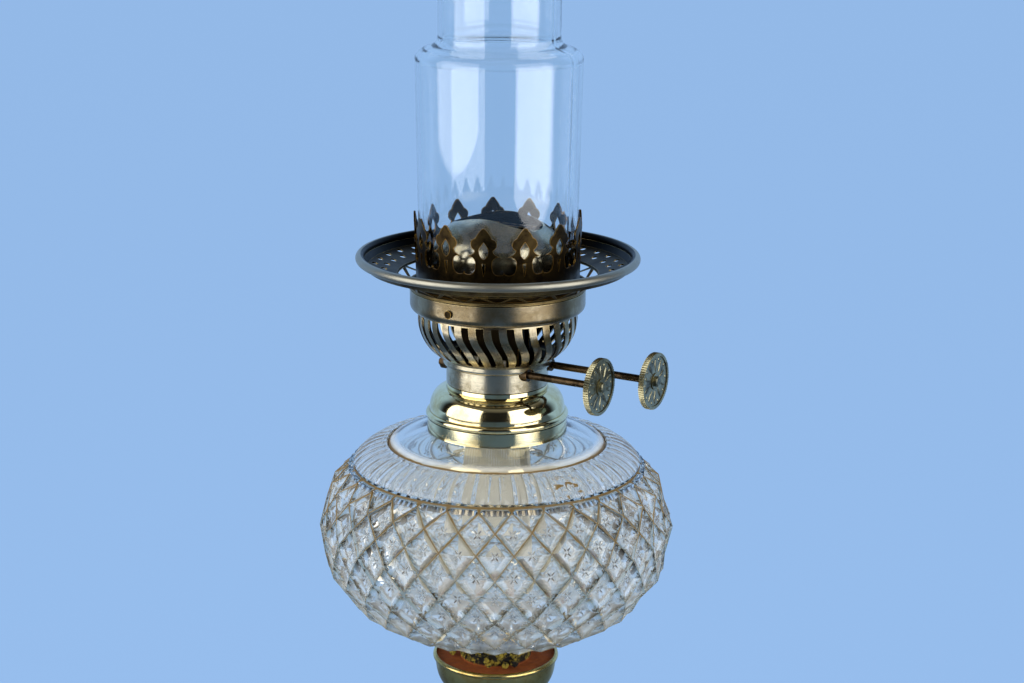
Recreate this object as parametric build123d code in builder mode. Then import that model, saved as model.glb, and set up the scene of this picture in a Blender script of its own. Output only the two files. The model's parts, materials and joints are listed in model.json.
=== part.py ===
from build123d import *
from math import cos, hypot, radians, sin
import os

os.makedirs("parts", exist_ok=True)

# Foot and pillar, stacked up from the table
pad_thickness = 2.0
pad_inset = 4.0
plinth_radius = 75.0
plinth_height = 20.0
plinth_band_height = 8.0
plinth_step = 2.0
plinth_top_radius = 61.0
recess_radius = 24.0
recess_depth = 13.0
foot_radius = 57.0
foot_height = 32.0
foot_step_height = 5.0
foot_step_width = 5.0
foot_top_radius = 20.0
foot_wall = 1.4
column_base_height = 10.0
column_base_radius = 23.5
column_radius = 15.0
column_length = 84.0
column_bore = 12.0
column_shoulder = 1.2
reed_count = 20
reed_radius = 2.2
capital_height = 12.0
capital_radius = 22.0
abacus_height = 3.0
knop_height = 22.0
knop_radius = 17.0
knop_neck_radius = 10.5
knop_ring_height = 3.0
knop_ring_reach = 2.5
cup_height = 18.0
cup_rim_radius = 26.5
cup_bead_radius = 1.1
cup_stem_radius = 13.0
cup_stem_height = 1.5
cup_wall = 1.4
cup_floor = 4.0
bed_drop = 1.6
bed_sleeve = 3.0
fit_gap = 0.1

# Tie rod that clamps the pillar together
rod_radius = 4.0
rod_clearance = 0.3
rod_tail = 2.0
rod_head_radius = 8.0
rod_head_height = 2.5
washer_radius = 15.0
washer_thickness = 2.0
nut_across_flats = 13.0
nut_height = 6.5

# Cut glass font
font_radius = 71.8
font_lift = 14.5
font_base_radius = 26.0
belly_height = 40.5
belly_side_fullness = 0.33
belly_foot_fullness = 0.82
belly_top_fullness = 0.6
belly_ledge = 2.3
belly_to_groove = 28.2
lower_groove_radius = 59.7
upper_groove_radius = 45.0
groove_spacing = 10.3
roll_fullness = 0.42
shoulder_rise = 5.2
groove_cut_radius = 1.1
glass_wall = 5.5
diamonds_round = 30
diamond_row_lengths = (17.5, 19.2, 18.6, 17.4, 14.4)
diamond_turn = -54.0
field_top_margin = 1.5
field_foot_margin = 12.0
field_ledge = 0.2
mitre_depth = 1.0
facet_rise = 1.5
facet_peak = 3.4
peg_radius = 12.0
peg_depth = 6.5
font_neck_radius = 23.5
font_neck_gap = 1.3
font_mouth_radius = 18.5

# Brass collar cemented on the font
collar_radius = 28.7
collar_height = 19.8
collar_band_height = 5.6
collar_bead_radius = 1.5
collar_dome_radius = 27.8
collar_dome_fullness = 0.62
collar_ring_radius = 20.6
collar_ring_height = 1.9
collar_wall = 1.3
collar_lip_height = 2.5
bayonet_clearance = 0.3

# Burner body of thin sheet brass
sheet = 0.8
burner_gap = 0.5
sleeve_radius = 18.2
sleeve_wall = 0.6
sleeve_depth = 8.0
floor_height = 1.0
lug_height = 2.0
lug_width = 4.0
lug_reach = 1.1
lug_rise = 0.8
notch_clearance = 0.5
neck_radius = 20.9
neck_height = 10.5
neck_bead_radius = 22.4
neck_bead_height = 2.8
basket_top_radius = 32.2
basket_middle_radius = 29.6
basket_middle_height = 6.5
basket_height = 19.8
slot_count = 33
slot_top_width = 3.1
slot_foot_width = 2.3
slot_swing = 4.8
slot_top_margin = 0.7
slot_foot_margin = 1.8
band_radius = 35.7
band_height = 9.0
band_curl = 3.3
rivet_count = 2
rivet_radius = 1.7
rivet_proud = 0.8
rivet_height = 4.8
rivet_angle = -92.2
air_plate_height = 3.5
air_hole_radius = 1.5
air_ring_radii = (18.4, 22.8, 27.2)
air_ring_counts = (20, 26, 32)

# Wicks, their tubes and their winders
wick_width = 25.4
wick_thickness = 2.8
wick_length = 135.0
wick_edge = 0.6
wick_stand = 0.8
wick_clearance = 0.3
tube_wall = 0.6
tube_top_rise = 25.6
tube_foot_drop = 8.0
spindle_radius = 1.5
spindle_offset = 9.5
spindle_height = 7.3
spindle_clearance = 0.05
spindle_nub = 1.2
bush_radius = 2.6
bush_near_end = 20.3
bush_far_end = 20.3
bush_length = 3.6
spur_radius = 3.6
spur_root_radius = 2.5
spur_teeth = 10
spur_thickness = 1.4
spur_spacing = 13.0
spur_clearance = 0.25
knob_reaches = {"front": 52.0, "rear": 66.5}
knob_radius = 11.5
knob_thickness = 2.3
knob_dish = 0.4
knob_border = 1.3
knob_boss_radius = 3.4
knob_boss_length = 2.6
knurl_count = 72
knurl_depth = 0.32
knob_nut_radius = 2.1
knob_nut_height = 1.3

# Gallery that carries the shade and the chimney
gallery_gap = 0.6
seat_clearance = 0.5
seat_depth = 5.0
skirt_foot_radius = 36.2
skirt_top_radius = 42.0
skirt_height = 4.6
skirt_floor_radius = 25.0
skirt_zigzags = 18
skirt_bar = 1.0
skirt_margin = 0.5
dish_edge_radius = 52.6
dish_rise = 3.2
dish_lip = 1.2
dish_sheet = 0.5
rim_radius = 55.8
rim_tube_radius = 1.75
rim_rise = 6.6
dish_hole_radius = 1.35
dish_hole_count = 36
dish_hole_rows = (46.0, 50.2)
cone_radius = 26.5
cone_flange = 2.6
cone_wall_height = 13.0
cone_dome_height = 16.7
cone_slot_length = 38.0
cone_slot_width = 21.0
round_fullness = 0.5523

# Coronet of pierced fingers that grips the chimney
coronet_fingers = 13
coronet_height = 29.5
coronet_wall = 0.7
coronet_flare = 1.1
coronet_clearance = 0.5
coronet_turn = -69.3
finger_tip_half = 0.3
finger_head_half = 2.9
finger_head_height = 25.6
finger_lobe_half = 4.9
finger_lobe_height = 23.4
finger_waist_half = 3.4
finger_waist_height = 20.8
heart_neck_half = 1.5
heart_neck_height = 18.3
heart_half = 4.8
heart_height = 15.2
heart_foot_half = 2.2
heart_foot_height = 10.9
heart_cusp_height = 12.0
lancet_half = 1.9
lancet_top = 24.0
lancet_middle = 20.8
lancet_foot = 17.2
keyhole_half = 0.8
keyhole_top = 15.4
keyhole_foot = 10.2

# Glass chimney
chimney_height = 254.0
chimney_foot_radius = 31.8
chimney_shoulder_radius = 33.45
chimney_tube_radius = 24.4
chimney_body_height = 93.7
chimney_slope_height = 3.5
chimney_corner = 4.0
chimney_wall = 1.8
chimney_gap = 0.3

# Heights that follow from the stack
plinth_z = pad_thickness
foot_z = plinth_z + plinth_height
column_base_z = foot_z + foot_height
column_z = column_base_z + column_base_height
capital_z = column_z + column_length
knop_z = capital_z + capital_height
cup_z = knop_z + knop_height
cup_floor_z = cup_z + cup_floor
cup_rim_z = cup_z + cup_height
font_z = cup_rim_z + font_lift
belly_z = font_z + belly_height
lower_groove_z = belly_z + belly_to_groove
upper_groove_z = lower_groove_z + groove_spacing
collar_z = upper_groove_z + shoulder_rise
collar_top_z = collar_z + collar_height
lip_z = collar_top_z - collar_lip_height
burner_z = collar_top_z + burner_gap
neck_top_z = burner_z - sleeve_depth - font_neck_gap
spindle_z = burner_z + spindle_height
basket_z = burner_z + neck_height
band_z = basket_z + basket_height
band_top_z = band_z + band_height
air_plate_z = band_z + air_plate_height
skirt_z = band_top_z + gallery_gap
floor_top_z = skirt_z + sheet
dish_z = floor_top_z + skirt_height
rim_z = dish_z + rim_rise
chimney_z = floor_top_z + chimney_gap
tube_top_z = band_top_z + tube_top_rise
tube_foot_z = burner_z - tube_foot_drop

# Sizes that follow from a fit
rod_bore = rod_radius + rod_clearance
column_outside = column_radius + reed_radius + column_shoulder
lip_radius = sleeve_radius + bayonet_clearance
lug_radius = sleeve_radius + lug_reach
throat_radius = lug_radius + notch_clearance
collar_bore = collar_radius - collar_wall
neck_bore = neck_radius - sheet
wick_offset = spindle_offset - spur_radius - spur_clearance - wick_thickness / 2
tube_inside_width = wick_width + 2 * wick_clearance
tube_inside_depth = wick_thickness + 2 * wick_clearance
tube_width = tube_inside_width + 2 * tube_wall
tube_depth = tube_inside_depth + 2 * tube_wall
band_bore = band_radius - sheet
seat_radius = band_bore - seat_clearance
coronet_bore = chimney_foot_radius + coronet_clearance
cut_depth = 2 * sheet
sides = {"front": -1, "rear": 1}


def star(outer, inner, points):
    """Corners of a star, used for the spur wheels and the milled knobs."""
    step = 180 / points
    corners = []
    for corner in range(2 * points):
        reach = inner if corner % 2 else outer
        turn = radians(corner * step)
        corners.append((reach * cos(turn), reach * sin(turn)))
    return corners


# Felt pad under the plinth
with BuildPart() as felt_pad:
    with BuildSketch():
        Circle(plinth_radius - pad_inset)
    extrude(amount=pad_thickness)
felt_pad.part.label = "felt_pad"
export_step(felt_pad.part, "parts/felt_pad.step")

# Black glazed plinth with a recess underneath for the nut
with BuildPart() as plinth:
    recess_z = plinth_z + recess_depth
    step_radius = plinth_radius - plinth_step
    step_z = plinth_z + plinth_band_height
    with BuildSketch(Plane.XZ):
        with BuildLine():
            Polyline(
                (rod_bore, foot_z),
                (rod_bore, recess_z),
                (recess_radius, recess_z),
                (recess_radius, plinth_z),
                (plinth_radius, plinth_z),
                (plinth_radius, step_z),
                (step_radius, step_z),
            )
            Bezier(
                (step_radius, step_z),
                (plinth_top_radius, step_z),
                (plinth_top_radius, foot_z - plinth_step),
            )
            Polyline(
                (plinth_top_radius, foot_z - plinth_step),
                (plinth_top_radius, foot_z),
                (rod_bore, foot_z),
            )
        make_face()
    revolve(axis=Axis.Z)
plinth.part.label = "plinth"
export_step(plinth.part, "parts/plinth.step")


def foot_outline(inset):
    """Draw the stepped and swept line of the foot, drawn in by a wall, and return its two ends."""
    edge = foot_radius - inset
    step_z = foot_z + foot_step_height - inset
    step_edge = edge - foot_step_width
    top = foot_top_radius - inset
    Polyline((edge, foot_z), (edge, step_z), (step_edge, step_z))
    Bezier((step_edge, step_z), (top, step_z), (top, column_base_z - inset))
    return Vector(edge, foot_z), Vector(top, column_base_z - inset)


# Spun brass foot
with BuildPart() as foot:
    with BuildSketch(Plane.XZ):
        with BuildLine():
            outer_edge, outer_top = foot_outline(0)
            inner_edge, inner_top = foot_outline(foot_wall)
            Polyline(outer_top, (rod_bore, outer_top.Y), (rod_bore, inner_top.Y), inner_top)
            Line(outer_edge, inner_edge)
        make_face()
    revolve(axis=Axis.Z)
foot.part.label = "foot"
export_step(foot.part, "parts/foot.step")

# Cast weight that fills the foot
with BuildPart() as foot_weight:
    with BuildSketch(Plane.XZ):
        with BuildLine():
            weight_edge, weight_top = foot_outline(foot_wall + fit_gap)
            Polyline(weight_top, (rod_bore, weight_top.Y), (rod_bore, foot_z), weight_edge)
        make_face()
    revolve(axis=Axis.Z)
foot_weight.part.label = "foot_weight"
export_step(foot_weight.part, "parts/foot_weight.step")

# Turned base of the column
with BuildPart() as column_base:
    torus_z = column_base_z + column_base_height / 2
    fillet_z = column_z - column_base_height / 5
    with BuildSketch(Plane.XZ):
        with BuildLine():
            ThreePointArc(
                (column_base_radius - column_shoulder, column_base_z),
                (column_base_radius, column_base_z + column_base_height / 4),
                (column_base_radius - column_shoulder, torus_z),
            )
            Bezier(
                (column_base_radius - column_shoulder, torus_z),
                (column_outside, torus_z),
                (column_outside, fillet_z),
            )
            Polyline(
                (column_outside, fillet_z),
                (column_outside, column_z),
                (rod_bore, column_z),
                (rod_bore, column_base_z),
                (column_base_radius - column_shoulder, column_base_z),
            )
        make_face()
    revolve(axis=Axis.Z)
column_base.part.label = "column_base"
export_step(column_base.part, "parts/column_base.step")

# Reeded brass column
with BuildPart() as column_tube:
    with BuildSketch(Plane.XY.offset(column_z)):
        Circle(column_radius)
        with PolarLocations(column_radius, reed_count):
            Circle(reed_radius)
        Circle(column_bore, mode=Mode.SUBTRACT)
    extrude(amount=column_length)
column_tube.part.label = "column_tube"
export_step(column_tube.part, "parts/column_tube.step")

# Turned capital of the column
with BuildPart() as column_capital:
    neck_z = capital_z + capital_height / 4
    abacus_z = knop_z - abacus_height
    with BuildSketch(Plane.XZ):
        with BuildLine():
            Polyline((rod_bore, capital_z), (column_outside, capital_z), (column_outside, neck_z))
            Bezier(
                (column_outside, neck_z),
                (capital_radius - column_shoulder, neck_z),
                (capital_radius - column_shoulder, abacus_z),
            )
            Polyline(
                (capital_radius - column_shoulder, abacus_z),
                (capital_radius, abacus_z),
                (capital_radius, knop_z),
                (rod_bore, knop_z),
                (rod_bore, capital_z),
            )
        make_face()
    revolve(axis=Axis.Z)
column_capital.part.label = "column_capital"
export_step(column_capital.part, "parts/column_capital.step")

# Ball knop between capital and cup
with BuildPart() as knop:
    ring_radius = knop_neck_radius + knop_ring_reach
    lower_z = knop_z + knop_ring_height
    upper_z = cup_z - knop_ring_height
    with BuildSketch(Plane.XZ):
        with BuildLine():
            Polyline(
                (knop_neck_radius, lower_z),
                (ring_radius, lower_z),
                (ring_radius, knop_z),
                (rod_bore, knop_z),
                (rod_bore, cup_z),
                (ring_radius, cup_z),
                (ring_radius, upper_z),
                (knop_neck_radius, upper_z),
            )
            ThreePointArc(
                (knop_neck_radius, upper_z),
                (knop_radius, (lower_z + upper_z) / 2),
                (knop_neck_radius, lower_z),
            )
        make_face()
    revolve(axis=Axis.Z)
knop.part.label = "knop"
export_step(knop.part, "parts/knop.step")


def cup_bowl(inset):
    """Draw the inside of the cup, drawn in by a gap, and return its floor and its rim."""
    floor_end = Vector(cup_stem_radius - cup_wall - inset, cup_floor_z + inset)
    rim_end = Vector(cup_rim_radius - cup_wall - inset, cup_rim_z)
    Bezier(floor_end, (rim_end.X, floor_end.Y), rim_end)
    return floor_end, rim_end


# Brass cup that holds the font
with BuildPart() as socket_cup:
    stem_z = cup_z + cup_stem_height
    bead_z = cup_rim_z - 2 * cup_bead_radius
    with BuildSketch(Plane.XZ):
        with BuildLine():
            bowl_floor, bowl_rim = cup_bowl(0)
            Polyline(bowl_floor, (rod_bore, cup_floor_z), (rod_bore, cup_z), (cup_stem_radius, cup_z))
            Line((cup_stem_radius, cup_z), (cup_stem_radius, stem_z))
            Bezier(
                (cup_stem_radius, stem_z),
                (cup_rim_radius - cup_bead_radius, stem_z),
                (cup_rim_radius - cup_bead_radius, bead_z),
            )
            ThreePointArc(
                (cup_rim_radius - cup_bead_radius, bead_z),
                (cup_rim_radius, cup_rim_z - cup_bead_radius),
                (cup_rim_radius - cup_bead_radius, cup_rim_z),
            )
            Line((cup_rim_radius - cup_bead_radius, cup_rim_z), bowl_rim)
        make_face()
    revolve(axis=Axis.Z)
socket_cup.part.label = "socket_cup"
export_step(socket_cup.part, "parts/socket_cup.step")

# Plaster that beds the font's peg in the cup
with BuildPart() as plaster_bed:
    head_top_z = cup_floor_z + rod_head_height + fit_gap
    head_clear = rod_head_radius + fit_gap
    bed_top_z = cup_rim_z - bed_drop
    peg_foot_z = cup_rim_z - peg_depth - fit_gap
    with BuildSketch(Plane.XZ):
        with BuildLine():
            bed_floor, bed_rim = cup_bowl(fit_gap)
            Polyline(
                bed_floor,
                (head_clear, bed_floor.Y),
                (head_clear, head_top_z),
                (0, head_top_z),
                (0, cup_rim_z),
                bed_rim,
            )
        make_face()
    revolve(axis=Axis.Z)
    split(bisect_by=Plane.XY.offset(bed_top_z), keep=Keep.BOTTOM)
    with BuildSketch(Plane.XY.offset(bed_top_z)):
        Circle(peg_radius + bed_sleeve)
    extrude(amount=font_z - fit_gap - bed_top_z)
    with BuildSketch(Plane.XY.offset(peg_foot_z)):
        Circle(peg_radius + fit_gap)
    extrude(amount=font_z - peg_foot_z, mode=Mode.SUBTRACT)
plaster_bed.part.label = "plaster_bed"
export_step(plaster_bed.part, "parts/plaster_bed.step")

# Tie rod with its head in the cup
washer_z = plinth_z + recess_depth - washer_thickness
nut_z = washer_z - nut_height
with BuildPart() as tie_rod:
    with BuildSketch(Plane.XY.offset(nut_z - rod_tail)):
        Circle(rod_radius)
    extrude(amount=cup_floor_z - nut_z + rod_tail)
    with BuildSketch(Plane.XY.offset(cup_floor_z)):
        Circle(rod_head_radius)
    extrude(amount=rod_head_height)
tie_rod.part.label = "tie_rod"
export_step(tie_rod.part, "parts/tie_rod.step")

# Washer at the top of the recess
with BuildPart() as tie_washer:
    with BuildSketch(Plane.XY.offset(washer_z)):
        Circle(washer_radius)
        Circle(rod_bore, mode=Mode.SUBTRACT)
    extrude(amount=washer_thickness)
tie_washer.part.label = "tie_washer"
export_step(tie_washer.part, "parts/tie_washer.step")

# Nut on the end of the rod
with BuildPart() as tie_nut:
    with BuildSketch(Plane.XY.offset(nut_z)):
        RegularPolygon(nut_across_flats / 2, 6, major_radius=False)
        Circle(rod_radius + fit_gap, mode=Mode.SUBTRACT)
    extrude(amount=nut_height)
tie_nut.part.label = "tie_nut"
export_step(tie_nut.part, "parts/tie_nut.step")

# Side of the font's belly, from the lower groove to the base
ledge_radius = lower_groove_radius + belly_ledge
foot_width = font_radius - font_base_radius
with BuildLine(Plane.XZ) as belly_side:
    Bezier(
        (lower_groove_radius, lower_groove_z),
        (ledge_radius, lower_groove_z - belly_ledge / 2),
        (font_radius, belly_z + belly_top_fullness * belly_to_groove),
        (font_radius, belly_z),
    )
    Bezier(
        (font_radius, belly_z),
        (font_radius, belly_z - belly_side_fullness * belly_height),
        (font_base_radius + belly_foot_fullness * foot_width, font_z),
        (font_base_radius, font_z),
    )
belly_line = belly_side.wire()


def belly_outward(place, turn):
    """Direction out of the belly at a place along its side."""
    along = belly_line % place
    return Vector(-along.Z, 0, along.X).rotate(Axis.Z, turn)


def cut_crossing(place, turn):
    """Point below the belly's surface where two cuts cross."""
    return (belly_line @ place).rotate(Axis.Z, turn) - belly_outward(place, turn) * mitre_depth


def facet_faces(corners, out):
    """Flat top and sloping sides of one facet between the crossings at its corners."""
    peak = sum(corners, Vector()) / len(corners) + out * facet_peak
    top_drop = facet_peak - facet_rise
    flat = [peak + (corner - peak) * (top_drop / out.dot(peak - corner)) for corner in corners]
    slopes = [(corners[i - 1], corners[i], flat[i], flat[i - 1]) for i in range(len(corners))]
    return [Face(Wire.make_polygon(loop)) for loop in (flat, *slopes)]


# Diamonds between the cuts, on rings of crossings where every second ring is turned by half a diamond
diamond_step = 360 / diamonds_round
field_run = belly_line.length - field_top_margin - field_foot_margin
ring_runs = [0.0]
for row_length in diamond_row_lengths:
    ring_runs += [ring_runs[-1] + row_length / 2, ring_runs[-1] + row_length]
run_scale = field_run / ring_runs[-1]
ring_places = [(field_top_margin + run * run_scale) / belly_line.length for run in ring_runs]
facets = []
for ring, place in enumerate(ring_places):
    for column in range(diamonds_round):
        left_turn = diamond_turn + diamond_step * (column + ring % 2 / 2)
        middle_turn = left_turn + diamond_step / 2
        corners = [cut_crossing(place, left_turn)]
        if ring > 0:
            corners.append(cut_crossing(ring_places[ring - 1], middle_turn))
        corners.append(cut_crossing(place, left_turn + diamond_step))
        if ring + 1 < len(ring_places):
            corners.append(cut_crossing(ring_places[ring + 1], middle_turn))
        facets += facet_faces(corners, belly_outward(place, middle_turn))
column_turns = [diamond_turn + diamond_step * column for column in range(diamonds_round)]
for place in (ring_places[0], ring_places[-1]):
    facets.append(Face(Wire.make_polygon([cut_crossing(place, turn) for turn in column_turns])))

# Glass font with a peg below, a field of diamonds, a rolled band between its grooves and a neck above
with BuildPart() as glass_font:
    shoulder_z = collar_z - fit_gap
    belly_inside = font_radius - glass_wall
    floor_z = font_z + glass_wall
    roll_width = lower_groove_radius - upper_groove_radius
    field_top = belly_line @ ring_places[0]
    field_foot = belly_line @ ring_places[-1]
    top_crossing = cut_crossing(ring_places[0], 0)
    foot_crossing = cut_crossing(ring_places[-1], 0)
    add(Solid(Shell(facets)))
    with BuildSketch(Plane.XZ):
        with BuildLine():
            Bezier(
                (collar_radius, shoulder_z),
                ((collar_radius + upper_groove_radius) / 2, shoulder_z - shoulder_rise / 3),
                (upper_groove_radius, upper_groove_z),
            )
            Bezier(
                (upper_groove_radius, upper_groove_z),
                (upper_groove_radius + roll_fullness * roll_width, upper_groove_z),
                (lower_groove_radius, lower_groove_z + roll_fullness * groove_spacing),
                (lower_groove_radius, lower_groove_z),
            )
            Polyline(
                (lower_groove_radius, lower_groove_z),
                (field_top.X, field_top.Z),
                (top_crossing.X + field_ledge, top_crossing.Z),
                (0, top_crossing.Z),
                (0, neck_top_z),
                (font_neck_radius, neck_top_z),
                (font_neck_radius, shoulder_z),
                (collar_radius, shoulder_z),
            )
        make_face()
        with BuildLine():
            Polyline(
                (0, foot_crossing.Z),
                (foot_crossing.X + field_ledge, foot_crossing.Z),
                (field_foot.X, field_foot.Z),
                (font_base_radius, font_z),
                (peg_radius, font_z),
                (peg_radius, cup_rim_z - peg_depth),
                (0, cup_rim_z - peg_depth),
                close=True,
            )
        make_face()
    revolve(axis=Axis.Z)
    with BuildSketch(Plane.XZ):
        with BuildLine():
            Bezier(
                (font_base_radius, floor_z),
                (font_base_radius + belly_foot_fullness * (foot_width - glass_wall), floor_z),
                (belly_inside, belly_z - belly_side_fullness * (belly_height - glass_wall)),
                (belly_inside, belly_z),
            )
            Spline(
                (belly_inside, belly_z),
                (lower_groove_radius - glass_wall / 2, lower_groove_z - glass_wall),
                (upper_groove_radius - glass_wall / 2, upper_groove_z - glass_wall),
                (collar_radius, shoulder_z - glass_wall),
                tangents=((0, 1), (-roll_width, shoulder_rise / 2)),
            )
            Polyline(
                (collar_radius, shoulder_z - glass_wall),
                (font_mouth_radius, shoulder_z - glass_wall),
                (font_mouth_radius, neck_top_z),
                (0, neck_top_z),
                (0, floor_z),
                (font_base_radius, floor_z),
            )
        make_face()
        with Locations((lower_groove_radius, lower_groove_z), (upper_groove_radius, upper_groove_z)):
            Circle(groove_cut_radius)
    revolve(axis=Axis.Z, mode=Mode.SUBTRACT)
glass_font.part.label = "glass_font"
export_step(glass_font.part, "parts/glass_font.step")

# Domed brass collar with a bayonet lip
with BuildPart() as font_collar:
    bead_z = collar_z + collar_band_height + collar_bead_radius
    dome_z = bead_z + collar_bead_radius
    ring_z = collar_top_z - collar_ring_height
    dome_reach = collar_dome_radius - collar_ring_radius
    with BuildSketch(Plane.XZ):
        with BuildLine():
            Polyline(
                (collar_bore, collar_z),
                (collar_radius, collar_z),
                (collar_radius, collar_z + collar_band_height),
                (collar_dome_radius, collar_z + collar_band_height),
            )
            ThreePointArc(
                (collar_dome_radius, collar_z + collar_band_height),
                (collar_dome_radius + collar_bead_radius, bead_z),
                (collar_dome_radius, dome_z),
            )
            Bezier(
                (collar_dome_radius, dome_z),
                (collar_dome_radius, dome_z + collar_dome_fullness * (ring_z - dome_z)),
                (collar_ring_radius + collar_dome_fullness * dome_reach, ring_z),
                (collar_ring_radius, ring_z),
            )
            Polyline(
                (collar_ring_radius, ring_z),
                (collar_ring_radius, collar_top_z),
                (lip_radius, collar_top_z),
                (lip_radius, lip_z),
                (throat_radius, lip_z),
                (throat_radius, neck_top_z + fit_gap),
                (font_neck_radius + fit_gap, neck_top_z + fit_gap),
                (collar_bore - collar_wall, dome_z),
                (collar_bore, dome_z - 2 * collar_bead_radius),
                (collar_bore, collar_z),
            )
        make_face()
    revolve(axis=Axis.Z)
    with BuildSketch(Plane.XY.offset(lip_z)):
        Rectangle(lug_width + 2 * notch_clearance, 2 * throat_radius)
    extrude(amount=collar_lip_height, mode=Mode.SUBTRACT)
font_collar.part.label = "font_collar"
export_step(font_collar.part, "parts/font_collar.step")

# Plaster ring between font neck and collar
with BuildPart() as collar_plaster:
    with BuildSketch(Plane.XY.offset(collar_z)):
        Circle(collar_bore - fit_gap)
        Circle(font_neck_radius + fit_gap, mode=Mode.SUBTRACT)
    extrude(amount=collar_band_height)
collar_plaster.part.label = "collar_plaster"
export_step(collar_plaster.part, "parts/collar_plaster.step")

# Bayonet sleeve that drops into the collar
with BuildPart() as burner_sleeve:
    with BuildSketch(Plane.XY.offset(burner_z - sleeve_depth)):
        Circle(sleeve_radius)
        Circle(sleeve_radius - sleeve_wall, mode=Mode.SUBTRACT)
    extrude(amount=sleeve_depth + floor_height)
    with BuildSketch(Plane.XY.offset(burner_z - sleeve_depth + lug_rise)):
        Rectangle(lug_width, 2 * lug_radius)
        Circle(sleeve_radius - sleeve_wall, mode=Mode.SUBTRACT)
    extrude(amount=lug_height)
burner_sleeve.part.label = "burner_sleeve"
export_step(burner_sleeve.part, "parts/burner_sleeve.step")

# Neck with a bead at the top and holes for the spindle bushes
with BuildPart() as burner_neck:
    bead_foot_z = basket_z - neck_bead_height
    with BuildSketch(Plane.XZ):
        with BuildLine():
            Polyline(
                (neck_bore, bead_foot_z),
                (neck_bore, burner_z),
                (neck_radius, burner_z),
                (neck_radius, bead_foot_z),
            )
            Bezier(
                (neck_radius, bead_foot_z),
                (neck_bead_radius, bead_foot_z),
                (neck_bead_radius, bead_foot_z + neck_bead_height / 2),
            )
            Polyline(
                (neck_bead_radius, bead_foot_z + neck_bead_height / 2),
                (neck_bead_radius, basket_z),
                (neck_bead_radius - sheet, basket_z),
                (neck_bore, bead_foot_z),
            )
        make_face()
    revolve(axis=Axis.Z)
    with BuildSketch(Plane.YZ):
        with Locations((spindle_offset, spindle_z), (-spindle_offset, spindle_z)):
            Circle(bush_radius)
    extrude(amount=neck_bead_radius, both=True, mode=Mode.SUBTRACT)
burner_neck.part.label = "burner_neck"
export_step(burner_neck.part, "parts/burner_neck.step")

# Floor plate that holds the wick tubes
with BuildPart() as burner_floor:
    with BuildSketch(Plane.XY.offset(burner_z + floor_height)):
        Circle(neck_bore)
        with Locations((0, -wick_offset), (0, wick_offset)):
            Rectangle(tube_width, tube_depth, mode=Mode.SUBTRACT)
    extrude(amount=sheet)
burner_floor.part.label = "burner_floor"
export_step(burner_floor.part, "parts/burner_floor.step")

# One S-shaped air slot of the basket
slot_top_z = band_z - slot_top_margin
slot_foot_z = basket_z + slot_foot_margin
slot_middle_z = (slot_top_z + slot_foot_z) / 2
with BuildPart() as air_slot:
    with BuildSketch(Plane.XZ.offset(neck_radius - cut_depth)):
        with BuildLine():
            slot_edges = []
            for edge in (-1, 1):
                top_x = edge * slot_top_width / 2 - slot_swing / 2
                foot_x = edge * slot_foot_width / 2 + slot_swing / 2
                slot_edges.append(
                    Bezier(
                        (top_x, slot_top_z),
                        (top_x, slot_middle_z),
                        (foot_x, slot_middle_z),
                        (foot_x, slot_foot_z),
                    )
                )
            Line(slot_edges[0] @ 0, slot_edges[1] @ 0)
            Line(slot_edges[0] @ 1, slot_edges[1] @ 1)
        make_face()
    extrude(amount=basket_top_radius - neck_radius + 2 * cut_depth)

# Bowl-shaped air basket with its ring of slots
with BuildPart() as air_basket:
    middle_z = basket_z + basket_middle_height
    with BuildSketch(Plane.XZ):
        with BuildLine():
            outside = ThreePointArc(
                (neck_bead_radius, basket_z),
                (basket_middle_radius, middle_z),
                (basket_top_radius, band_z),
            )
            inside = ThreePointArc(
                (neck_bead_radius - sheet, basket_z),
                (basket_middle_radius - sheet, middle_z),
                (basket_top_radius - sheet, band_z),
            )
            Line(outside @ 0, inside @ 0)
            Line(outside @ 1, inside @ 1)
        make_face()
    revolve(axis=Axis.Z)
    with PolarLocations(0, slot_count):
        add(air_slot.part, mode=Mode.SUBTRACT)
air_basket.part.label = "air_basket"
export_step(air_basket.part, "parts/air_basket.step")

# Plain band with its lower edge curled in
curl_z = band_z + band_curl
rivet_z = band_z + rivet_height
with BuildPart() as burner_band:
    with BuildSketch(Plane.XZ):
        with BuildLine():
            Line((band_radius, band_top_z), (band_radius, curl_z))
            Bezier(
                (band_radius, curl_z),
                (band_radius, band_z),
                (basket_top_radius, band_z),
            )
            Line((basket_top_radius, band_z), (basket_top_radius - sheet, band_z))
            Line((basket_top_radius - sheet, band_z), (basket_top_radius - sheet, band_z + sheet))
            Bezier(
                (basket_top_radius - sheet, band_z + sheet),
                (band_bore, band_z + sheet),
                (band_bore, curl_z + sheet),
            )
            Polyline((band_bore, curl_z + sheet), (band_bore, band_top_z), (band_radius, band_top_z))
        make_face()
    revolve(axis=Axis.Z)
    for rivet in range(rivet_count):
        rivet_plane = Plane.XZ.rotated((0, 0, rivet_angle + 90 + rivet * 360 / rivet_count))
        with BuildSketch(rivet_plane):
            with Locations((0, rivet_z)):
                Circle(rivet_radius)
        extrude(amount=band_radius, mode=Mode.SUBTRACT)
burner_band.part.label = "burner_band"
export_step(burner_band.part, "parts/burner_band.step")

# Rivets through the band
with BuildPart() as band_rivets:
    for rivet in range(rivet_count):
        rivet_plane = Plane.XZ.rotated((0, 0, rivet_angle + 90 + rivet * 360 / rivet_count))
        with BuildSketch(rivet_plane.offset(band_bore)):
            with Locations((0, rivet_z)):
                Circle(rivet_radius - fit_gap)
        extrude(amount=sheet + rivet_proud)
band_rivets.part.label = "band_rivets"
export_step(band_rivets.part, "parts/band_rivets.step")

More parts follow.
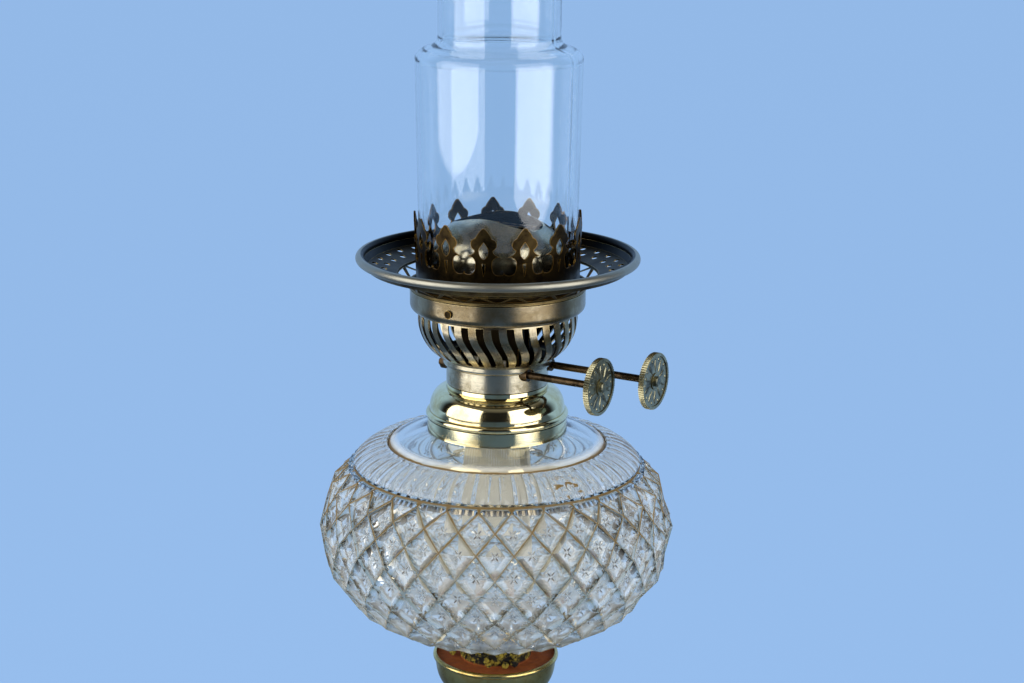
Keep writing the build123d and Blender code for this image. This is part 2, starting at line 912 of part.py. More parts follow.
# Perforated air plate inside the band
with BuildPart() as air_plate:
    with BuildSketch(Plane.XY.offset(air_plate_z)):
        Circle(band_bore - fit_gap)
        for ring_radius, hole_count in zip(air_ring_radii, air_ring_counts):
            with PolarLocations(ring_radius, hole_count):
                Circle(air_hole_radius, mode=Mode.SUBTRACT)
        with Locations((0, -wick_offset), (0, wick_offset)):
            Rectangle(tube_width, tube_depth, mode=Mode.SUBTRACT)
    extrude(amount=sheet)
air_plate.part.label = "air_plate"
export_step(air_plate.part, "parts/air_plate.step")

# Bushes that carry the spindles through the neck
with BuildPart() as spindle_bushes:
    for bush_foot in (bush_near_end - bush_length, -bush_far_end):
        with BuildSketch(Plane.YZ.offset(bush_foot)):
            with Locations((spindle_offset, spindle_z), (-spindle_offset, spindle_z)):
                Circle(bush_radius)
                Circle(spindle_radius + spindle_clearance, mode=Mode.SUBTRACT)
        extrude(amount=bush_length)
spindle_bushes.part.label = "spindle_bushes"
export_step(spindle_bushes.part, "parts/spindle_bushes.step")

for name, side in sides.items():
    wick_y = side * wick_offset
    spindle_y = side * spindle_offset
    knob_x = knob_reaches[name]
    knob_face_x = knob_x + knob_thickness / 2

    # Flat wick tube with windows for the spur wheels
    with BuildPart() as wick_tube:
        with BuildSketch(Plane.XY.offset(tube_foot_z)):
            with Locations((0, wick_y)):
                Rectangle(tube_width, tube_depth)
                Rectangle(tube_inside_width, tube_inside_depth, mode=Mode.SUBTRACT)
        extrude(amount=tube_top_z - tube_foot_z)
        with BuildSketch(Plane.XY.offset(spindle_z - spur_radius)):
            with Locations((-spur_spacing / 2, spindle_y), (spur_spacing / 2, spindle_y)):
                Rectangle(2 * spur_thickness, 2 * (spindle_offset - wick_offset) - wick_thickness)
        extrude(amount=2 * spur_radius, mode=Mode.SUBTRACT)
    wick_tube.part.label = f"{name}_wick_tube"
    export_step(wick_tube.part, f"parts/{name}_wick_tube.step")

    # Flat cotton wick
    with BuildPart() as wick:
        with BuildSketch(Plane.XY.offset(tube_top_z + wick_stand - wick_length)):
            with Locations((0, wick_y)):
                RectangleRounded(wick_width, wick_thickness, wick_edge)
        extrude(amount=wick_length)
    wick.part.label = f"{name}_wick"
    export_step(wick.part, f"parts/{name}_wick.step")

    # Spindle that runs right across the neck
    with BuildPart() as spindle:
        with BuildSketch(Plane.YZ.offset(-bush_far_end - spindle_nub)):
            with Locations((spindle_y, spindle_z)):
                Circle(spindle_radius)
        extrude(amount=bush_far_end + spindle_nub + knob_face_x)
    spindle.part.label = f"{name}_spindle"
    export_step(spindle.part, f"parts/{name}_spindle.step")

    # Pair of spur wheels that grip the wick
    with BuildPart() as spur_wheels:
        for spur_x in (-spur_spacing / 2, spur_spacing / 2):
            with BuildSketch(Plane.YZ.offset(spur_x - spur_thickness / 2)):
                with Locations((spindle_y, spindle_z)):
                    Polygon(*star(spur_radius, spur_root_radius, spur_teeth), align=None)
                    Circle(spindle_radius, mode=Mode.SUBTRACT)
            extrude(amount=spur_thickness)
    spur_wheels.part.label = f"{name}_spur_wheels"
    export_step(spur_wheels.part, f"parts/{name}_spur_wheels.step")

    # Milled knob with a sunk face on each side
    with BuildPart() as knob:
        with BuildSketch(Plane.YZ.offset(knob_x - knob_thickness / 2)):
            with Locations((spindle_y, spindle_z)):
                Polygon(*star(knob_radius, knob_radius - knurl_depth, knurl_count), align=None)
        extrude(amount=knob_thickness)
        for face_x in (knob_x - knob_thickness / 2, knob_face_x - knob_dish):
            with BuildSketch(Plane.YZ.offset(face_x)):
                with Locations((spindle_y, spindle_z)):
                    Circle(knob_radius - knob_border)
                    Circle(knob_boss_radius, mode=Mode.SUBTRACT)
            extrude(amount=knob_dish, mode=Mode.SUBTRACT)
        with BuildSketch(Plane.YZ.offset(knob_x - knob_thickness / 2 - knob_boss_length)):
            with Locations((spindle_y, spindle_z)):
                Circle(knob_boss_radius)
        extrude(amount=knob_boss_length)
        with BuildSketch(Plane.YZ):
            with Locations((spindle_y, spindle_z)):
                Circle(spindle_radius)
        extrude(amount=2 * knob_x, mode=Mode.SUBTRACT)
    knob.part.label = f"{name}_knob"
    export_step(knob.part, f"parts/{name}_knob.step")

    # Small domed nut that holds the knob
    with BuildPart() as knob_nut:
        with BuildSketch(Plane.YZ.offset(knob_face_x)):
            with Locations((spindle_y, spindle_z)):
                Circle(knob_nut_radius)
        extrude(amount=knob_nut_height)
        fillet(knob_nut.edges().sort_by(Axis.X)[-1], knob_nut_height / 2)
    knob_nut.part.label = f"{name}_knob_nut"
    export_step(knob_nut.part, f"parts/{name}_knob_nut.step")

# Slip ring that seats the gallery inside the band
with BuildPart() as gallery_seat:
    with BuildSketch(Plane.XY.offset(skirt_z - seat_depth)):
        Circle(seat_radius)
        Circle(seat_radius - sheet, mode=Mode.SUBTRACT)
    extrude(amount=seat_depth)
gallery_seat.part.label = "gallery_seat"
export_step(gallery_seat.part, "parts/gallery_seat.step")

# One upright and one hanging triangle of the zigzag skirt
skirt_pitch = 2 * skirt_foot_radius * sin(radians(180 / skirt_zigzags))
with BuildPart() as skirt_triangle:
    triangle_half = skirt_pitch / 2 - skirt_bar
    triangle_foot_z = floor_top_z + skirt_margin
    triangle_top_z = dish_z - dish_sheet - skirt_margin
    with BuildSketch(Plane.XZ.offset(skirt_foot_radius - cut_depth - sheet)):
        Polygon(
            (-triangle_half, triangle_foot_z),
            (triangle_half, triangle_foot_z),
            (0, triangle_top_z),
            align=None,
        )
    extrude(amount=skirt_top_radius - skirt_foot_radius + 2 * cut_depth)
with BuildPart() as skirt_hanging_triangle:
    with BuildSketch(Plane.XZ.offset(skirt_foot_radius - cut_depth - sheet)):
        Polygon(
            (-triangle_half, triangle_top_z),
            (0, triangle_foot_z),
            (triangle_half, triangle_top_z),
            align=None,
        )
    extrude(amount=skirt_top_radius - skirt_foot_radius + 2 * cut_depth)

# Pierced conical skirt with the floor that the chimney stands on
with BuildPart() as gallery_skirt:
    with BuildSketch(Plane.XZ):
        with BuildLine():
            Polyline(
                (skirt_floor_radius, skirt_z),
                (skirt_foot_radius, skirt_z),
                (skirt_foot_radius, floor_top_z),
                (skirt_top_radius, dish_z - dish_sheet),
                (skirt_top_radius - sheet, dish_z - dish_sheet),
                (skirt_foot_radius - sheet, floor_top_z),
                (skirt_floor_radius, floor_top_z),
                close=True,
            )
        make_face()
    revolve(axis=Axis.Z)
    with PolarLocations(0, skirt_zigzags):
        add(skirt_triangle.part, mode=Mode.SUBTRACT)
    with PolarLocations(0, skirt_zigzags, start_angle=180 / skirt_zigzags):
        add(skirt_hanging_triangle.part, mode=Mode.SUBTRACT)
gallery_skirt.part.label = "gallery_skirt"
export_step(gallery_skirt.part, "parts/gallery_skirt.step")

# Perforated dish with a rolled rim
with BuildPart() as gallery_dish:
    with BuildSketch(Plane.XZ):
        with BuildLine():
            Polyline(
                (skirt_top_radius - dish_lip, dish_z),
                (dish_edge_radius, dish_z + dish_rise),
                (rim_radius - rim_tube_radius / 2, rim_z),
                (rim_radius, rim_z),
                (dish_edge_radius + dish_sheet, dish_z + dish_rise - dish_sheet),
                (skirt_top_radius - dish_lip, dish_z - dish_sheet),
                close=True,
            )
        make_face()
        with Locations((rim_radius, rim_z)):
            Circle(rim_tube_radius)
    revolve(axis=Axis.Z)
    with BuildSketch(Plane.XY.offset(dish_z - dish_sheet)):
        for row, row_radius in enumerate(dish_hole_rows):
            with PolarLocations(row_radius, dish_hole_count, start_angle=row * 180 / dish_hole_count):
                Circle(dish_hole_radius)
    extrude(amount=dish_rise + 2 * dish_sheet, mode=Mode.SUBTRACT)
gallery_dish.part.label = "gallery_dish"
export_step(gallery_dish.part, "parts/gallery_dish.step")

# Domed cone with one opening for both flames
with BuildPart() as cone:
    wall_top_z = floor_top_z + cone_wall_height
    dome_top_z = wall_top_z + cone_dome_height
    with BuildSketch(Plane.XZ):
        with BuildLine():
            for inset in (0, sheet):
                wall = cone_radius - inset
                dome = cone_dome_height - inset
                Bezier(
                    (wall, wall_top_z),
                    (wall, wall_top_z + round_fullness * dome),
                    (round_fullness * wall, wall_top_z + dome),
                    (0, wall_top_z + dome),
                )
            Line((0, dome_top_z), (0, dome_top_z - sheet))
            Polyline(
                (cone_radius, wall_top_z),
                (cone_radius, floor_top_z + sheet),
                (cone_radius + cone_flange, floor_top_z + sheet),
                (cone_radius + cone_flange, floor_top_z),
                (cone_radius - sheet, floor_top_z),
                (cone_radius - sheet, wall_top_z),
            )
        make_face()
    revolve(axis=Axis.Z)
    with BuildSketch(Plane.XY.offset(wall_top_z)):
        SlotOverall(cone_slot_length, cone_slot_width)
    extrude(amount=cone_dome_height + sheet, mode=Mode.SUBTRACT)
cone.part.label = "cone"
export_step(cone.part, "parts/cone.step")

# Half the angle between two fingers, as a width at the coronet's wall
half_pitch = (coronet_bore + coronet_wall) * sin(radians(180 / coronet_fingers))
cut_plane = Plane((0, coronet_bore - cut_depth, floor_top_z), x_dir=(-1, 0, 0), z_dir=(0, 1, 0))
cut_reach = coronet_wall + coronet_flare + 2 * cut_depth

# Gap between two fingers, which runs down into a heart
with BuildPart() as finger_gap:
    with BuildSketch(cut_plane):
        with BuildLine():
            for edge in (-1, 1):
                tip_x = edge * (half_pitch - finger_tip_half)
                head_x = edge * (half_pitch - finger_head_half)
                lobe_x = edge * (half_pitch - finger_lobe_half)
                waist_x = edge * (half_pitch - finger_waist_half)
                neck_x = edge * heart_neck_half
                foot_x = edge * heart_foot_half
                Polyline(
                    (0, coronet_height + sheet),
                    (tip_x, coronet_height + sheet),
                    (tip_x, coronet_height),
                )
                Bezier(
                    (tip_x, coronet_height),
                    (head_x, finger_head_height + sheet),
                    (head_x, finger_head_height),
                )
                ThreePointArc(
                    (head_x, finger_head_height),
                    (lobe_x, finger_lobe_height),
                    (waist_x, finger_waist_height),
                )
                Bezier(
                    (waist_x, finger_waist_height),
                    (waist_x, heart_neck_height + sheet),
                    (neck_x, heart_neck_height),
                )
                Bezier(
                    (neck_x, heart_neck_height),
                    (edge * heart_half, heart_neck_height),
                    (edge * heart_half, heart_height),
                )
                Bezier(
                    (edge * heart_half, heart_height),
                    (edge * heart_half, heart_foot_height),
                    (foot_x, heart_foot_height),
                )
                Bezier((foot_x, heart_foot_height), (0, heart_foot_height), (0, heart_cusp_height))
        make_face()
    extrude(amount=cut_reach)

# Pointed hole in a finger, with the keyhole below it
with BuildPart() as finger_hole:
    with BuildSketch(cut_plane):
        with BuildLine():
            for edge in (-1, 1):
                side_x = edge * lancet_half
                Bezier((0, lancet_top), (side_x, lancet_middle + sheet), (side_x, lancet_middle))
                Bezier((side_x, lancet_middle), (side_x, lancet_foot + sheet), (0, lancet_foot))
        make_face()
        Polygon((-keyhole_half, keyhole_top), (0, keyhole_foot), (keyhole_half, keyhole_top), align=None)
    extrude(amount=cut_reach)

# Coronet that grips the chimney
with BuildPart() as coronet:
    with BuildSketch(Plane.XZ):
        with BuildLine():
            Polyline(
                (coronet_bore, floor_top_z),
                (coronet_bore + coronet_wall, floor_top_z),
                (coronet_bore + coronet_wall + coronet_flare, floor_top_z + coronet_height),
                (coronet_bore + coronet_flare, floor_top_z + coronet_height),
                close=True,
            )
        make_face()
    revolve(axis=Axis.Z)
    finger_angle = coronet_turn - 90
    with PolarLocations(0, coronet_fingers, start_angle=finger_angle):
        add(finger_hole.part, mode=Mode.SUBTRACT)
    with PolarLocations(0, coronet_fingers, start_angle=finger_angle + 180 / coronet_fingers):
        add(finger_gap.part, mode=Mode.SUBTRACT)
coronet.part.label = "coronet"
export_step(coronet.part, "parts/coronet.step")

# Glass chimney with a shoulder below its tube
with BuildPart() as glass_chimney:
    shoulder_z = chimney_z + chimney_body_height
    slope_z = shoulder_z + chimney_slope_height
    chimney_top_z = chimney_z + chimney_height
    shoulder_slope = chimney_slope_height / (chimney_shoulder_radius - chimney_tube_radius)
    bore_drop = chimney_wall * (hypot(1, shoulder_slope) - shoulder_slope)
    with BuildSketch(Plane.XZ):
        with BuildLine():
            outline = FilletPolyline(
                (chimney_foot_radius, chimney_z),
                (chimney_shoulder_radius, shoulder_z),
                (chimney_tube_radius, slope_z),
                (chimney_tube_radius, chimney_top_z),
                radius=chimney_corner,
            )
            bore = FilletPolyline(
                (chimney_foot_radius - chimney_wall, chimney_z),
                (chimney_shoulder_radius - chimney_wall, shoulder_z - bore_drop),
                (chimney_tube_radius - chimney_wall, slope_z - bore_drop),
                (chimney_tube_radius - chimney_wall, chimney_top_z),
                radius=chimney_corner,
            )
            Line(outline @ 0, bore @ 0)
            Line(outline @ 1, bore @ 1)
        make_face()
    revolve(axis=Axis.Z)
    fillet(glass_chimney.edges().group_by(Axis.Z)[-1], chimney_wall / 3)
glass_chimney.part.label = "glass_chimney"
export_step(glass_chimney.part, "parts/glass_chimney.step")
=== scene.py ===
# %% [markdown]
# # Oil lamp with a cut-glass font
# The CAD model holds every rigid shape of this lamp and how it moves. This lesson adds what the eye sees: cut and
# blown glass, brass in several states of wear, cotton wicks, old plaster and the studio round the lamp. Everything
# is in metres in the CAD model's own frame, so a new piece is placed by the same sizes and needs no fitting.

import json
import math
import random
from collections import Counter

import bpy
import numpy as np
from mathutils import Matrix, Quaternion, Vector


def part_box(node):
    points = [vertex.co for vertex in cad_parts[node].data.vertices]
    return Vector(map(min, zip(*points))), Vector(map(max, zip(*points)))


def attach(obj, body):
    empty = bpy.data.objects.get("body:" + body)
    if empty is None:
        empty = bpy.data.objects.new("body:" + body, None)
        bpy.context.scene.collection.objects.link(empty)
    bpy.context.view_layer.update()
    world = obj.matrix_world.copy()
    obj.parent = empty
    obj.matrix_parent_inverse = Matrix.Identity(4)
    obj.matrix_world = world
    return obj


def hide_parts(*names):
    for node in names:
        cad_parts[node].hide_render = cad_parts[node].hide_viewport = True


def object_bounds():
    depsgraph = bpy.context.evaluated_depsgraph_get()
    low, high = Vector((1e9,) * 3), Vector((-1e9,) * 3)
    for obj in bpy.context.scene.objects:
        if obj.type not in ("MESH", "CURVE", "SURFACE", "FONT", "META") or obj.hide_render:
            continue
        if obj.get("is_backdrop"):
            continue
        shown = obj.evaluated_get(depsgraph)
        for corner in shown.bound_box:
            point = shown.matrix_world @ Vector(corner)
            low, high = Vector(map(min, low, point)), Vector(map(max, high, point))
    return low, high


MM = 0.001
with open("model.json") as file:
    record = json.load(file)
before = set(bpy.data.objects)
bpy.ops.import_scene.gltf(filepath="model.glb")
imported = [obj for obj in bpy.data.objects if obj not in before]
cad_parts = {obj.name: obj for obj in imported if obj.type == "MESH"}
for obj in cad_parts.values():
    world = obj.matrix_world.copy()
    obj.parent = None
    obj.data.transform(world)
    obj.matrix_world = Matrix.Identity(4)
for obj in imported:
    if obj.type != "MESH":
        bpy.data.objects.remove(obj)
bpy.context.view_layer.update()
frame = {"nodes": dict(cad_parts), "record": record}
cad_nodes = frame["nodes"]

# %% [markdown]
# ## Camera
# The photograph was taken with a long lens, a little above the lamp and a little to the right of its winders. The
# turned rings show this: their ellipses give the pitch. The camera aims beside the lamp's axis, because the lamp
# stands slightly left of the picture's middle, and it is rolled by half a degree, because the lamp leans a little.

# %% Camera
LENS = 75.0
VIEW_AZIMUTH = math.radians(30.0)
VIEW_PITCH = math.radians(14.7)
VIEW_DISTANCE = 870.75 * MM
AIM_HEIGHT = 335.5 * MM
AIM_RIGHT = 5.9 * MM
VIEW_ROLL = math.radians(0.45)

screen_right = Vector((math.cos(VIEW_AZIMUTH), math.sin(VIEW_AZIMUTH), 0))
level_back = Vector((math.sin(VIEW_AZIMUTH), -math.cos(VIEW_AZIMUTH), 0))
towards_camera = level_back * math.cos(VIEW_PITCH) + Vector((0, 0, math.sin(VIEW_PITCH)))
aim = screen_right * AIM_RIGHT + Vector((0, 0, AIM_HEIGHT))

bpy.ops.object.select_all(action="DESELECT")
bpy.ops.object.camera_add(location=aim + towards_camera * VIEW_DISTANCE)
camera = bpy.context.object
level_view = (-towards_camera).to_track_quat("-Z", "Y")
camera.rotation_euler = (level_view @ Quaternion((0, 0, 1), VIEW_ROLL)).to_euler()
camera.data.lens = LENS
bpy.context.scene.camera = camera
print("camera at", [round(x, 3) for x in camera.location])

# %% [markdown]
# ## Small helpers
# Colours are written as sRGB hex values, as a paint chart gives them, and one function turns them into the linear
# values that the shaders work with. One more function adds a shader node with its settings and links, so that each
# material below reads as a list of what it is made of.


# %% Colour and node helpers
def linear(hex_colour):
    """Turn an sRGB hex colour into linear RGBA."""
    channels = [int(hex_colour[i : i + 2], 16) / 255 for i in (1, 3, 5)]
    return [c / 12.92 if c <= 0.04045 else ((c + 0.055) / 1.055) ** 2.4 for c in channels] + [1.0]


def add_node(owner, kind, inputs=None, **settings):
    """Add a shader node to a material or world, set its properties, and set or link its inputs.

    An input can be a value, a socket, or a node, which stands for the first output that it has in use.
    """
    made = owner.node_tree.nodes.new(f"ShaderNode{kind}")
    for name, value in settings.items():
        setattr(made, name, value)
    for socket, value in (inputs or {}).items():
        if isinstance(value, bpy.types.Node):
            value = next(output for output in value.outputs if output.enabled)
        if isinstance(value, bpy.types.NodeSocket):
            owner.node_tree.links.new(value, made.inputs[socket])
        else:
            made.inputs[socket].default_value = value
    return made


def start_material(name):
    """Make an empty node material, and give it with the place of each point on the piece in metres."""
    material = bpy.data.materials.new(name)
    material.use_nodes = True
    material.node_tree.nodes.clear()
    return material, add_node(material, "TexCoord").outputs["Object"]


def close_material(material, inputs):
    """End a material with its shader, whose inputs are given as values or links."""
    shader = add_node(material, "BsdfPrincipled", inputs)
    add_node(material, "OutputMaterial", {"Surface": shader.outputs["BSDF"]})
    print("material:", material.name)


# %% [markdown]
# ## Studio
# The lamp stands on a pale blue sheet that fills the whole picture. Its colour reaches the camera partly as light of
# its own, so that it stays even, and partly as lit paint, so that it keeps the lamp's shadow. Two tall softboxes
# stand left and right of the camera: the glass and the polished collar mirror them as white stripes. A low white card
# stands in front of each, which only the steepest faces low on the lamp mirror. The room and the floor behind the
# camera are dim, which gives the metal its dark middles.

# %% Floor
SHEET_BLUE = "#99C0F0"
FLOOR_SIZE = 14.0
PAINT_SHARE = 0.16
BOUNCE_SHARE = 0.6
MIRROR_EDGE = (-0.15, -0.65)
MIRROR_LEAST = 0.1

bpy.ops.object.select_all(action="DESELECT")
bpy.ops.mesh.primitive_plane_add(size=FLOOR_SIZE)
floor = bpy.context.object
floor.name = "floor"
sheet_colour = np.array(linear(SHEET_BLUE))
# Matt paper gives an even colour with a soft shadow and no shine of its own.
floor_paint, place = start_material("blue paper sheet, matt")
rays = add_node(floor_paint, "LightPath").outputs
in_front = add_node(floor_paint, "VectorMath", {0: place, 1: level_back}, operation="DOT_PRODUCT")
# In mirrors, only the part of the sheet behind the lamp shines.
lit_sheet = add_node(
    floor_paint,
    "MapRange",
    {"Value": in_front, "From Min": MIRROR_EDGE[0], "From Max": MIRROR_EDGE[1], "To Min": MIRROR_LEAST},
    interpolation_type="SMOOTHSTEP",
)
seen = rays["Is Camera Ray"]
ray_shares = (("Is Transmission Ray", 1.0), ("Is Glossy Ray", lit_sheet), ("Is Diffuse Ray", BOUNCE_SHARE))
for ray, share in ray_shares:
    part = add_node(floor_paint, "Math", {0: rays[ray], 1: share}, operation="MULTIPLY")
    seen = add_node(floor_paint, "Math", {0: seen, 1: part}, operation="MAXIMUM")
close_material(
    floor_paint,
    {
        "Base Color": [*(sheet_colour[:3] * PAINT_SHARE), 1],
        "Roughness": 1.0,
        "Specular IOR Level": 0.0,
        "Emission Color": [*(sheet_colour[:3] * (1 - PAINT_SHARE)), 1],
        "Emission Strength": seen,
    },
)
floor.data.materials.append(floor_paint)
floor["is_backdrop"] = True
print("floor", FLOOR_SIZE, "m")

# %% World
ROOM_DIM = "#151618"
CEILING_GREY = "#666562"
FILL_LIGHT = "#FFFFFF"
FILL_LEVEL = 0.5
ROOM_EDGE = (-0.6, -0.2)
CEILING_EDGE = (0.55, 0.8)

world = bpy.data.worlds.new("studio")
bpy.context.scene.world = world
world.use_nodes = True
backdrop = world.node_tree.nodes["Background"]
rays = add_node(world, "LightPath").outputs
direction = add_node(world, "TexCoord").outputs["Generated"]
behind_camera = add_node(world, "VectorMath", {0: direction, 1: level_back}, operation="DOT_PRODUCT")
upwards = add_node(world, "SeparateXYZ", {"Vector": direction}).outputs["Z"]
mirrored = linear(SHEET_BLUE)
dimmed = ((behind_camera, ROOM_EDGE, ROOM_DIM), (upwards, CEILING_EDGE, CEILING_GREY))
for value, (near_edge, far_edge), tone in dimmed:
    share = add_node(
        world,
        "MapRange",
        {"Value": value, "From Min": near_edge, "From Max": far_edge},
        interpolation_type="SMOOTHSTEP",
    )
    in_mirrors = add_node(world, "Math", {0: share, 1: rays["Is Glossy Ray"]}, operation="MULTIPLY")
    mirrored = add_node(world, "Mix", {"Factor": in_mirrors, "A": mirrored, "B": linear(tone)}, data_type="RGBA")
seen = rays["Is Camera Ray"]
for ray in ("Is Glossy Ray", "Is Transmission Ray"):
    seen = add_node(world, "Math", {0: seen, 1: rays[ray]}, operation="MAXIMUM")
fill = [c * FILL_LEVEL for c in linear(FILL_LIGHT)]
shown = add_node(world, "Mix", {"Factor": seen, "A": fill, "B": mirrored}, data_type="RGBA")
world.node_tree.links.new(shown.outputs["Result"], backdrop.inputs["Color"])
bpy.context.scene.view_settings.view_transform = "Standard"
print("world fill", FILL_LEVEL)

# %% Softboxes and cards
LAMPS = {
    # name: (turn from the camera in degrees; distance, foot, height and width in metres; level)
    "softbox_left": (-60, 1.05, 0.19, 1.25, 1.32, 2.4),
    "softbox_right": (50, 1.05, 0.14, 1.28, 1.10, 2.4),
    "card_left": (-58, 0.98, 0.0, 0.115, 1.10, 2.8),
    "card_right": (51, 0.98, 0.0, 0.10, 0.76, 2.6),
}
for name, (turn, distance, foot, height, width, level) in LAMPS.items():
    azimuth = VIEW_AZIMUTH + math.radians(turn)
    place = Vector((math.sin(azimuth) * distance, -math.cos(azimuth) * distance, foot + height / 2))
    bpy.ops.object.light_add(type="AREA", location=place)
    softbox = bpy.context.object
    softbox.name = name
    facing = Vector((-place.x, -place.y, 0))
    softbox.rotation_euler = facing.to_track_quat("-Z", "Y").to_euler()
    softbox.data.shape = "RECTANGLE"
    softbox.data.size = width
    softbox.data.size_y = height
    softbox.data.energy = level * math.pi * width * height
    print(name, [round(x, 2) for x in place], round(softbox.data.energy, 1), "W")

# %% [markdown]
# ## Brass
# Nearly all the metal is brass, in different states. The burner was once bright and has worn to a silvery beige with
# brown stains; the coronet is blackened by heat; the collar is polished; the knobs and spindles are dull. They share
# one recipe: two tones mixed by a stain pattern, another tone far from the lamp's axis, soot and painted shade on faces
# that look inwards, dark grime and painted shade where the surface is hemmed in, a bright line of wear and painted
# highlight along the edges, and fine rings left by spinning. Each finish only changes its colours and amounts.


# %% Brass recipe
# Spinning rings are about 0.1 mm apart; they are drawn at 0.7 mm so that they show.
RING_MM = 0.7
RING_DEPTH_MM = 0.05
BEYOND_THE_LAMP_MM = (1000.0, 1001.0)


def brass(
    name, worn, dull, soot_grime_and_shade, edge, gloss, stain_mm, grime_and_shade_mm, edge_mm, rings,
    soot_and_shade=0.0, core_mm=0.0, outer="#000000", outer_mm=BEYOND_THE_LAMP_MM,
):
    """Brass of two tones, with an outer tone, sooty faces, grimy and shaded recesses, bright edges and spinning rings.

    gloss gives the roughness of the clean and the stained places. Faces that look inwards and recesses get painted
    shade as well as their dark deposits, and edges a painted highlight as well as their wear. The sizes ending in _mm
    say how wide the stains, the grimy and shaded recesses and the bright edges are, how far the sooty core reaches from
    the axis and where the outer tone begins.
    """
    material, place = start_material(name)
    height = add_node(material, "SeparateXYZ", {"Vector": place}).outputs["Z"]
    level = add_node(material, "VectorMath", {0: place, 1: (1, 1, 0)}, operation="MULTIPLY")
    radius = add_node(material, "VectorMath", {0: level}, operation="LENGTH")
    # Stains, which mix the two tones and set the gloss.
    stains = add_node(
        material, "TexNoise", {"Vector": place, "Scale": 1 / (stain_mm * MM), "Detail": 8.0, "Roughness": 0.7}
    )
    stained = add_node(
        material, "MapRange", {"Value": stains, "From Min": 0.42, "From Max": 0.66}, interpolation_type="SMOOTHSTEP"
    )
    # The outer tone, whose border wanders with the stains.
    ramp = (outer_mm[1] - outer_mm[0]) * MM
    uneven = add_node(material, "Math", {0: stains, 1: 2 * ramp, 2: radius}, operation="MULTIPLY_ADD")
    far_out = add_node(
        material,
        "MapRange",
        {"Value": uneven, "From Min": outer_mm[0] * MM + ramp, "From Max": outer_mm[1] * MM + ramp, "To Max": 0.8},
    )
    # Soot and painted shade on faces that look inwards, and soot on all that is near the axis.
    straight = add_node(material, "NewGeometry").outputs["Normal"]
    outwards = add_node(material, "VectorMath", {0: level}, operation="NORMALIZE")
    faces_out = add_node(material, "VectorMath", {0: straight, 1: outwards}, operation="DOT_PRODUCT")
    faces_in = add_node(material, "MapRange", {"Value": faces_out, "From Min": -0.1, "From Max": -0.32, "To Max": soot_and_shade})
    in_core = add_node(
        material,
        "MapRange",
        {"Value": radius, "From Min": (core_mm + 1) * MM, "From Max": core_mm * MM, "To Max": soot_and_shade},
    )
    sooted_and_shaded = add_node(material, "Math", {0: faces_in, 1: in_core}, operation="MAXIMUM")
    # Grime and painted shade, darker where other faces of the piece are close.
    room = add_node(material, "AmbientOcclusion", {"Distance": grime_and_shade_mm * MM}, samples=8, only_local=True)
    recess_grime_and_shade = add_node(
        material,
        "MapRange",
        {"Value": room.outputs["AO"], "From Min": 0.35, "From Max": 0.85, "To Min": 1.0, "To Max": 0.0},
        interpolation_type="SMOOTHSTEP",
    )
    # Rubbed edges with a painted highlight, where a rounded surface would face another way.
    rounded = add_node(material, "Bevel", {"Radius": edge_mm * MM}, samples=4)
    agreement = add_node(material, "VectorMath", {0: rounded, 1: straight}, operation="DOT_PRODUCT")
    edge_wear_and_highlight = add_node(material, "MapRange", {"Value": agreement, "From Min": 0.99, "From Max": 0.86, "To Max": 0.85})
    # Each layer covers the ones before it.
    tone = linear(worn)
    for share, tint in ((stained, dull), (far_out, outer), (sooted_and_shaded, soot_grime_and_shade), (recess_grime_and_shade, soot_grime_and_shade), (edge_wear_and_highlight, edge)):
        tone = add_node(material, "Mix", {"Factor": share, "A": tone, "B": linear(tint)}, data_type="RGBA")
    roughness = add_node(
        material,
        "MapRange",
        {"Value": stains, "From Min": 0.3, "From Max": 0.7, "To Min": gloss[0], "To Max": gloss[1]},
    )
    section = add_node(material, "CombineXYZ", {"X": radius, "Z": height})
    ring_marks = add_node(material, "TexNoise", {"Vector": section, "Scale": 1 / (RING_MM * MM), "Detail": 2.0})
    relief = add_node(material, "Bump", {"Height": ring_marks, "Strength": rings, "Distance": RING_DEPTH_MM * MM})
    close_material(material, {"Base Color": tone, "Metallic": 1.0, "Roughness": roughness, "Normal": relief})
    return material


# %% Brass finishes
# A worn satin: soft stripes of light over stains that turn brown on the outer parts.
aged_brass = brass(
    "spun brass, worn and stained",
    worn="#C9BFA6", dull="#8F8161", soot_grime_and_shade="#0E0B07", edge="#E2CF98",
    gloss=(0.18, 0.30), stain_mm=14.0, grime_and_shade_mm=3.0, edge_mm=0.35, rings=0.35, soot_and_shade=1.0,
    outer="#7D6A4A", outer_mm=(26.0, 36.0),
)
# Brown inside from the flames, with a greyer, handled rim.
browned_brass = brass(
    "spun brass, browned by heat",
    worn="#74623F", dull="#453822", soot_grime_and_shade="#0D0A06", edge="#D3B878",
    gloss=(0.32, 0.44), stain_mm=8.0, grime_and_shade_mm=3.0, edge_mm=0.3, rings=0.3, soot_and_shade=1.0,
    outer="#AFAD9F", outer_mm=(54.6, 55.6),
)
# Nearly black faces, with a thin golden line on the edges: rubbed wear and a painted highlight.
dark_brass = brass(
    "pierced brass, blackened by heat",
    worn="#43361F", dull="#211A11", soot_grime_and_shade="#0B0805", edge="#C79A4A",
    gloss=(0.30, 0.46), stain_mm=5.0, grime_and_shade_mm=1.5, edge_mm=0.4, rings=0.1, soot_and_shade=0.85, core_mm=24.0,
)
# A clear mirror of the softboxes in pale gold.
polished_brass = brass(
    "spun brass, polished",
    worn="#F5E8B8", dull="#E1CB92", soot_grime_and_shade="#6B5320", edge="#FFF0BE",
    gloss=(0.05, 0.15), stain_mm=12.0, grime_and_shade_mm=1.5, edge_mm=0.3, rings=0.12,
)
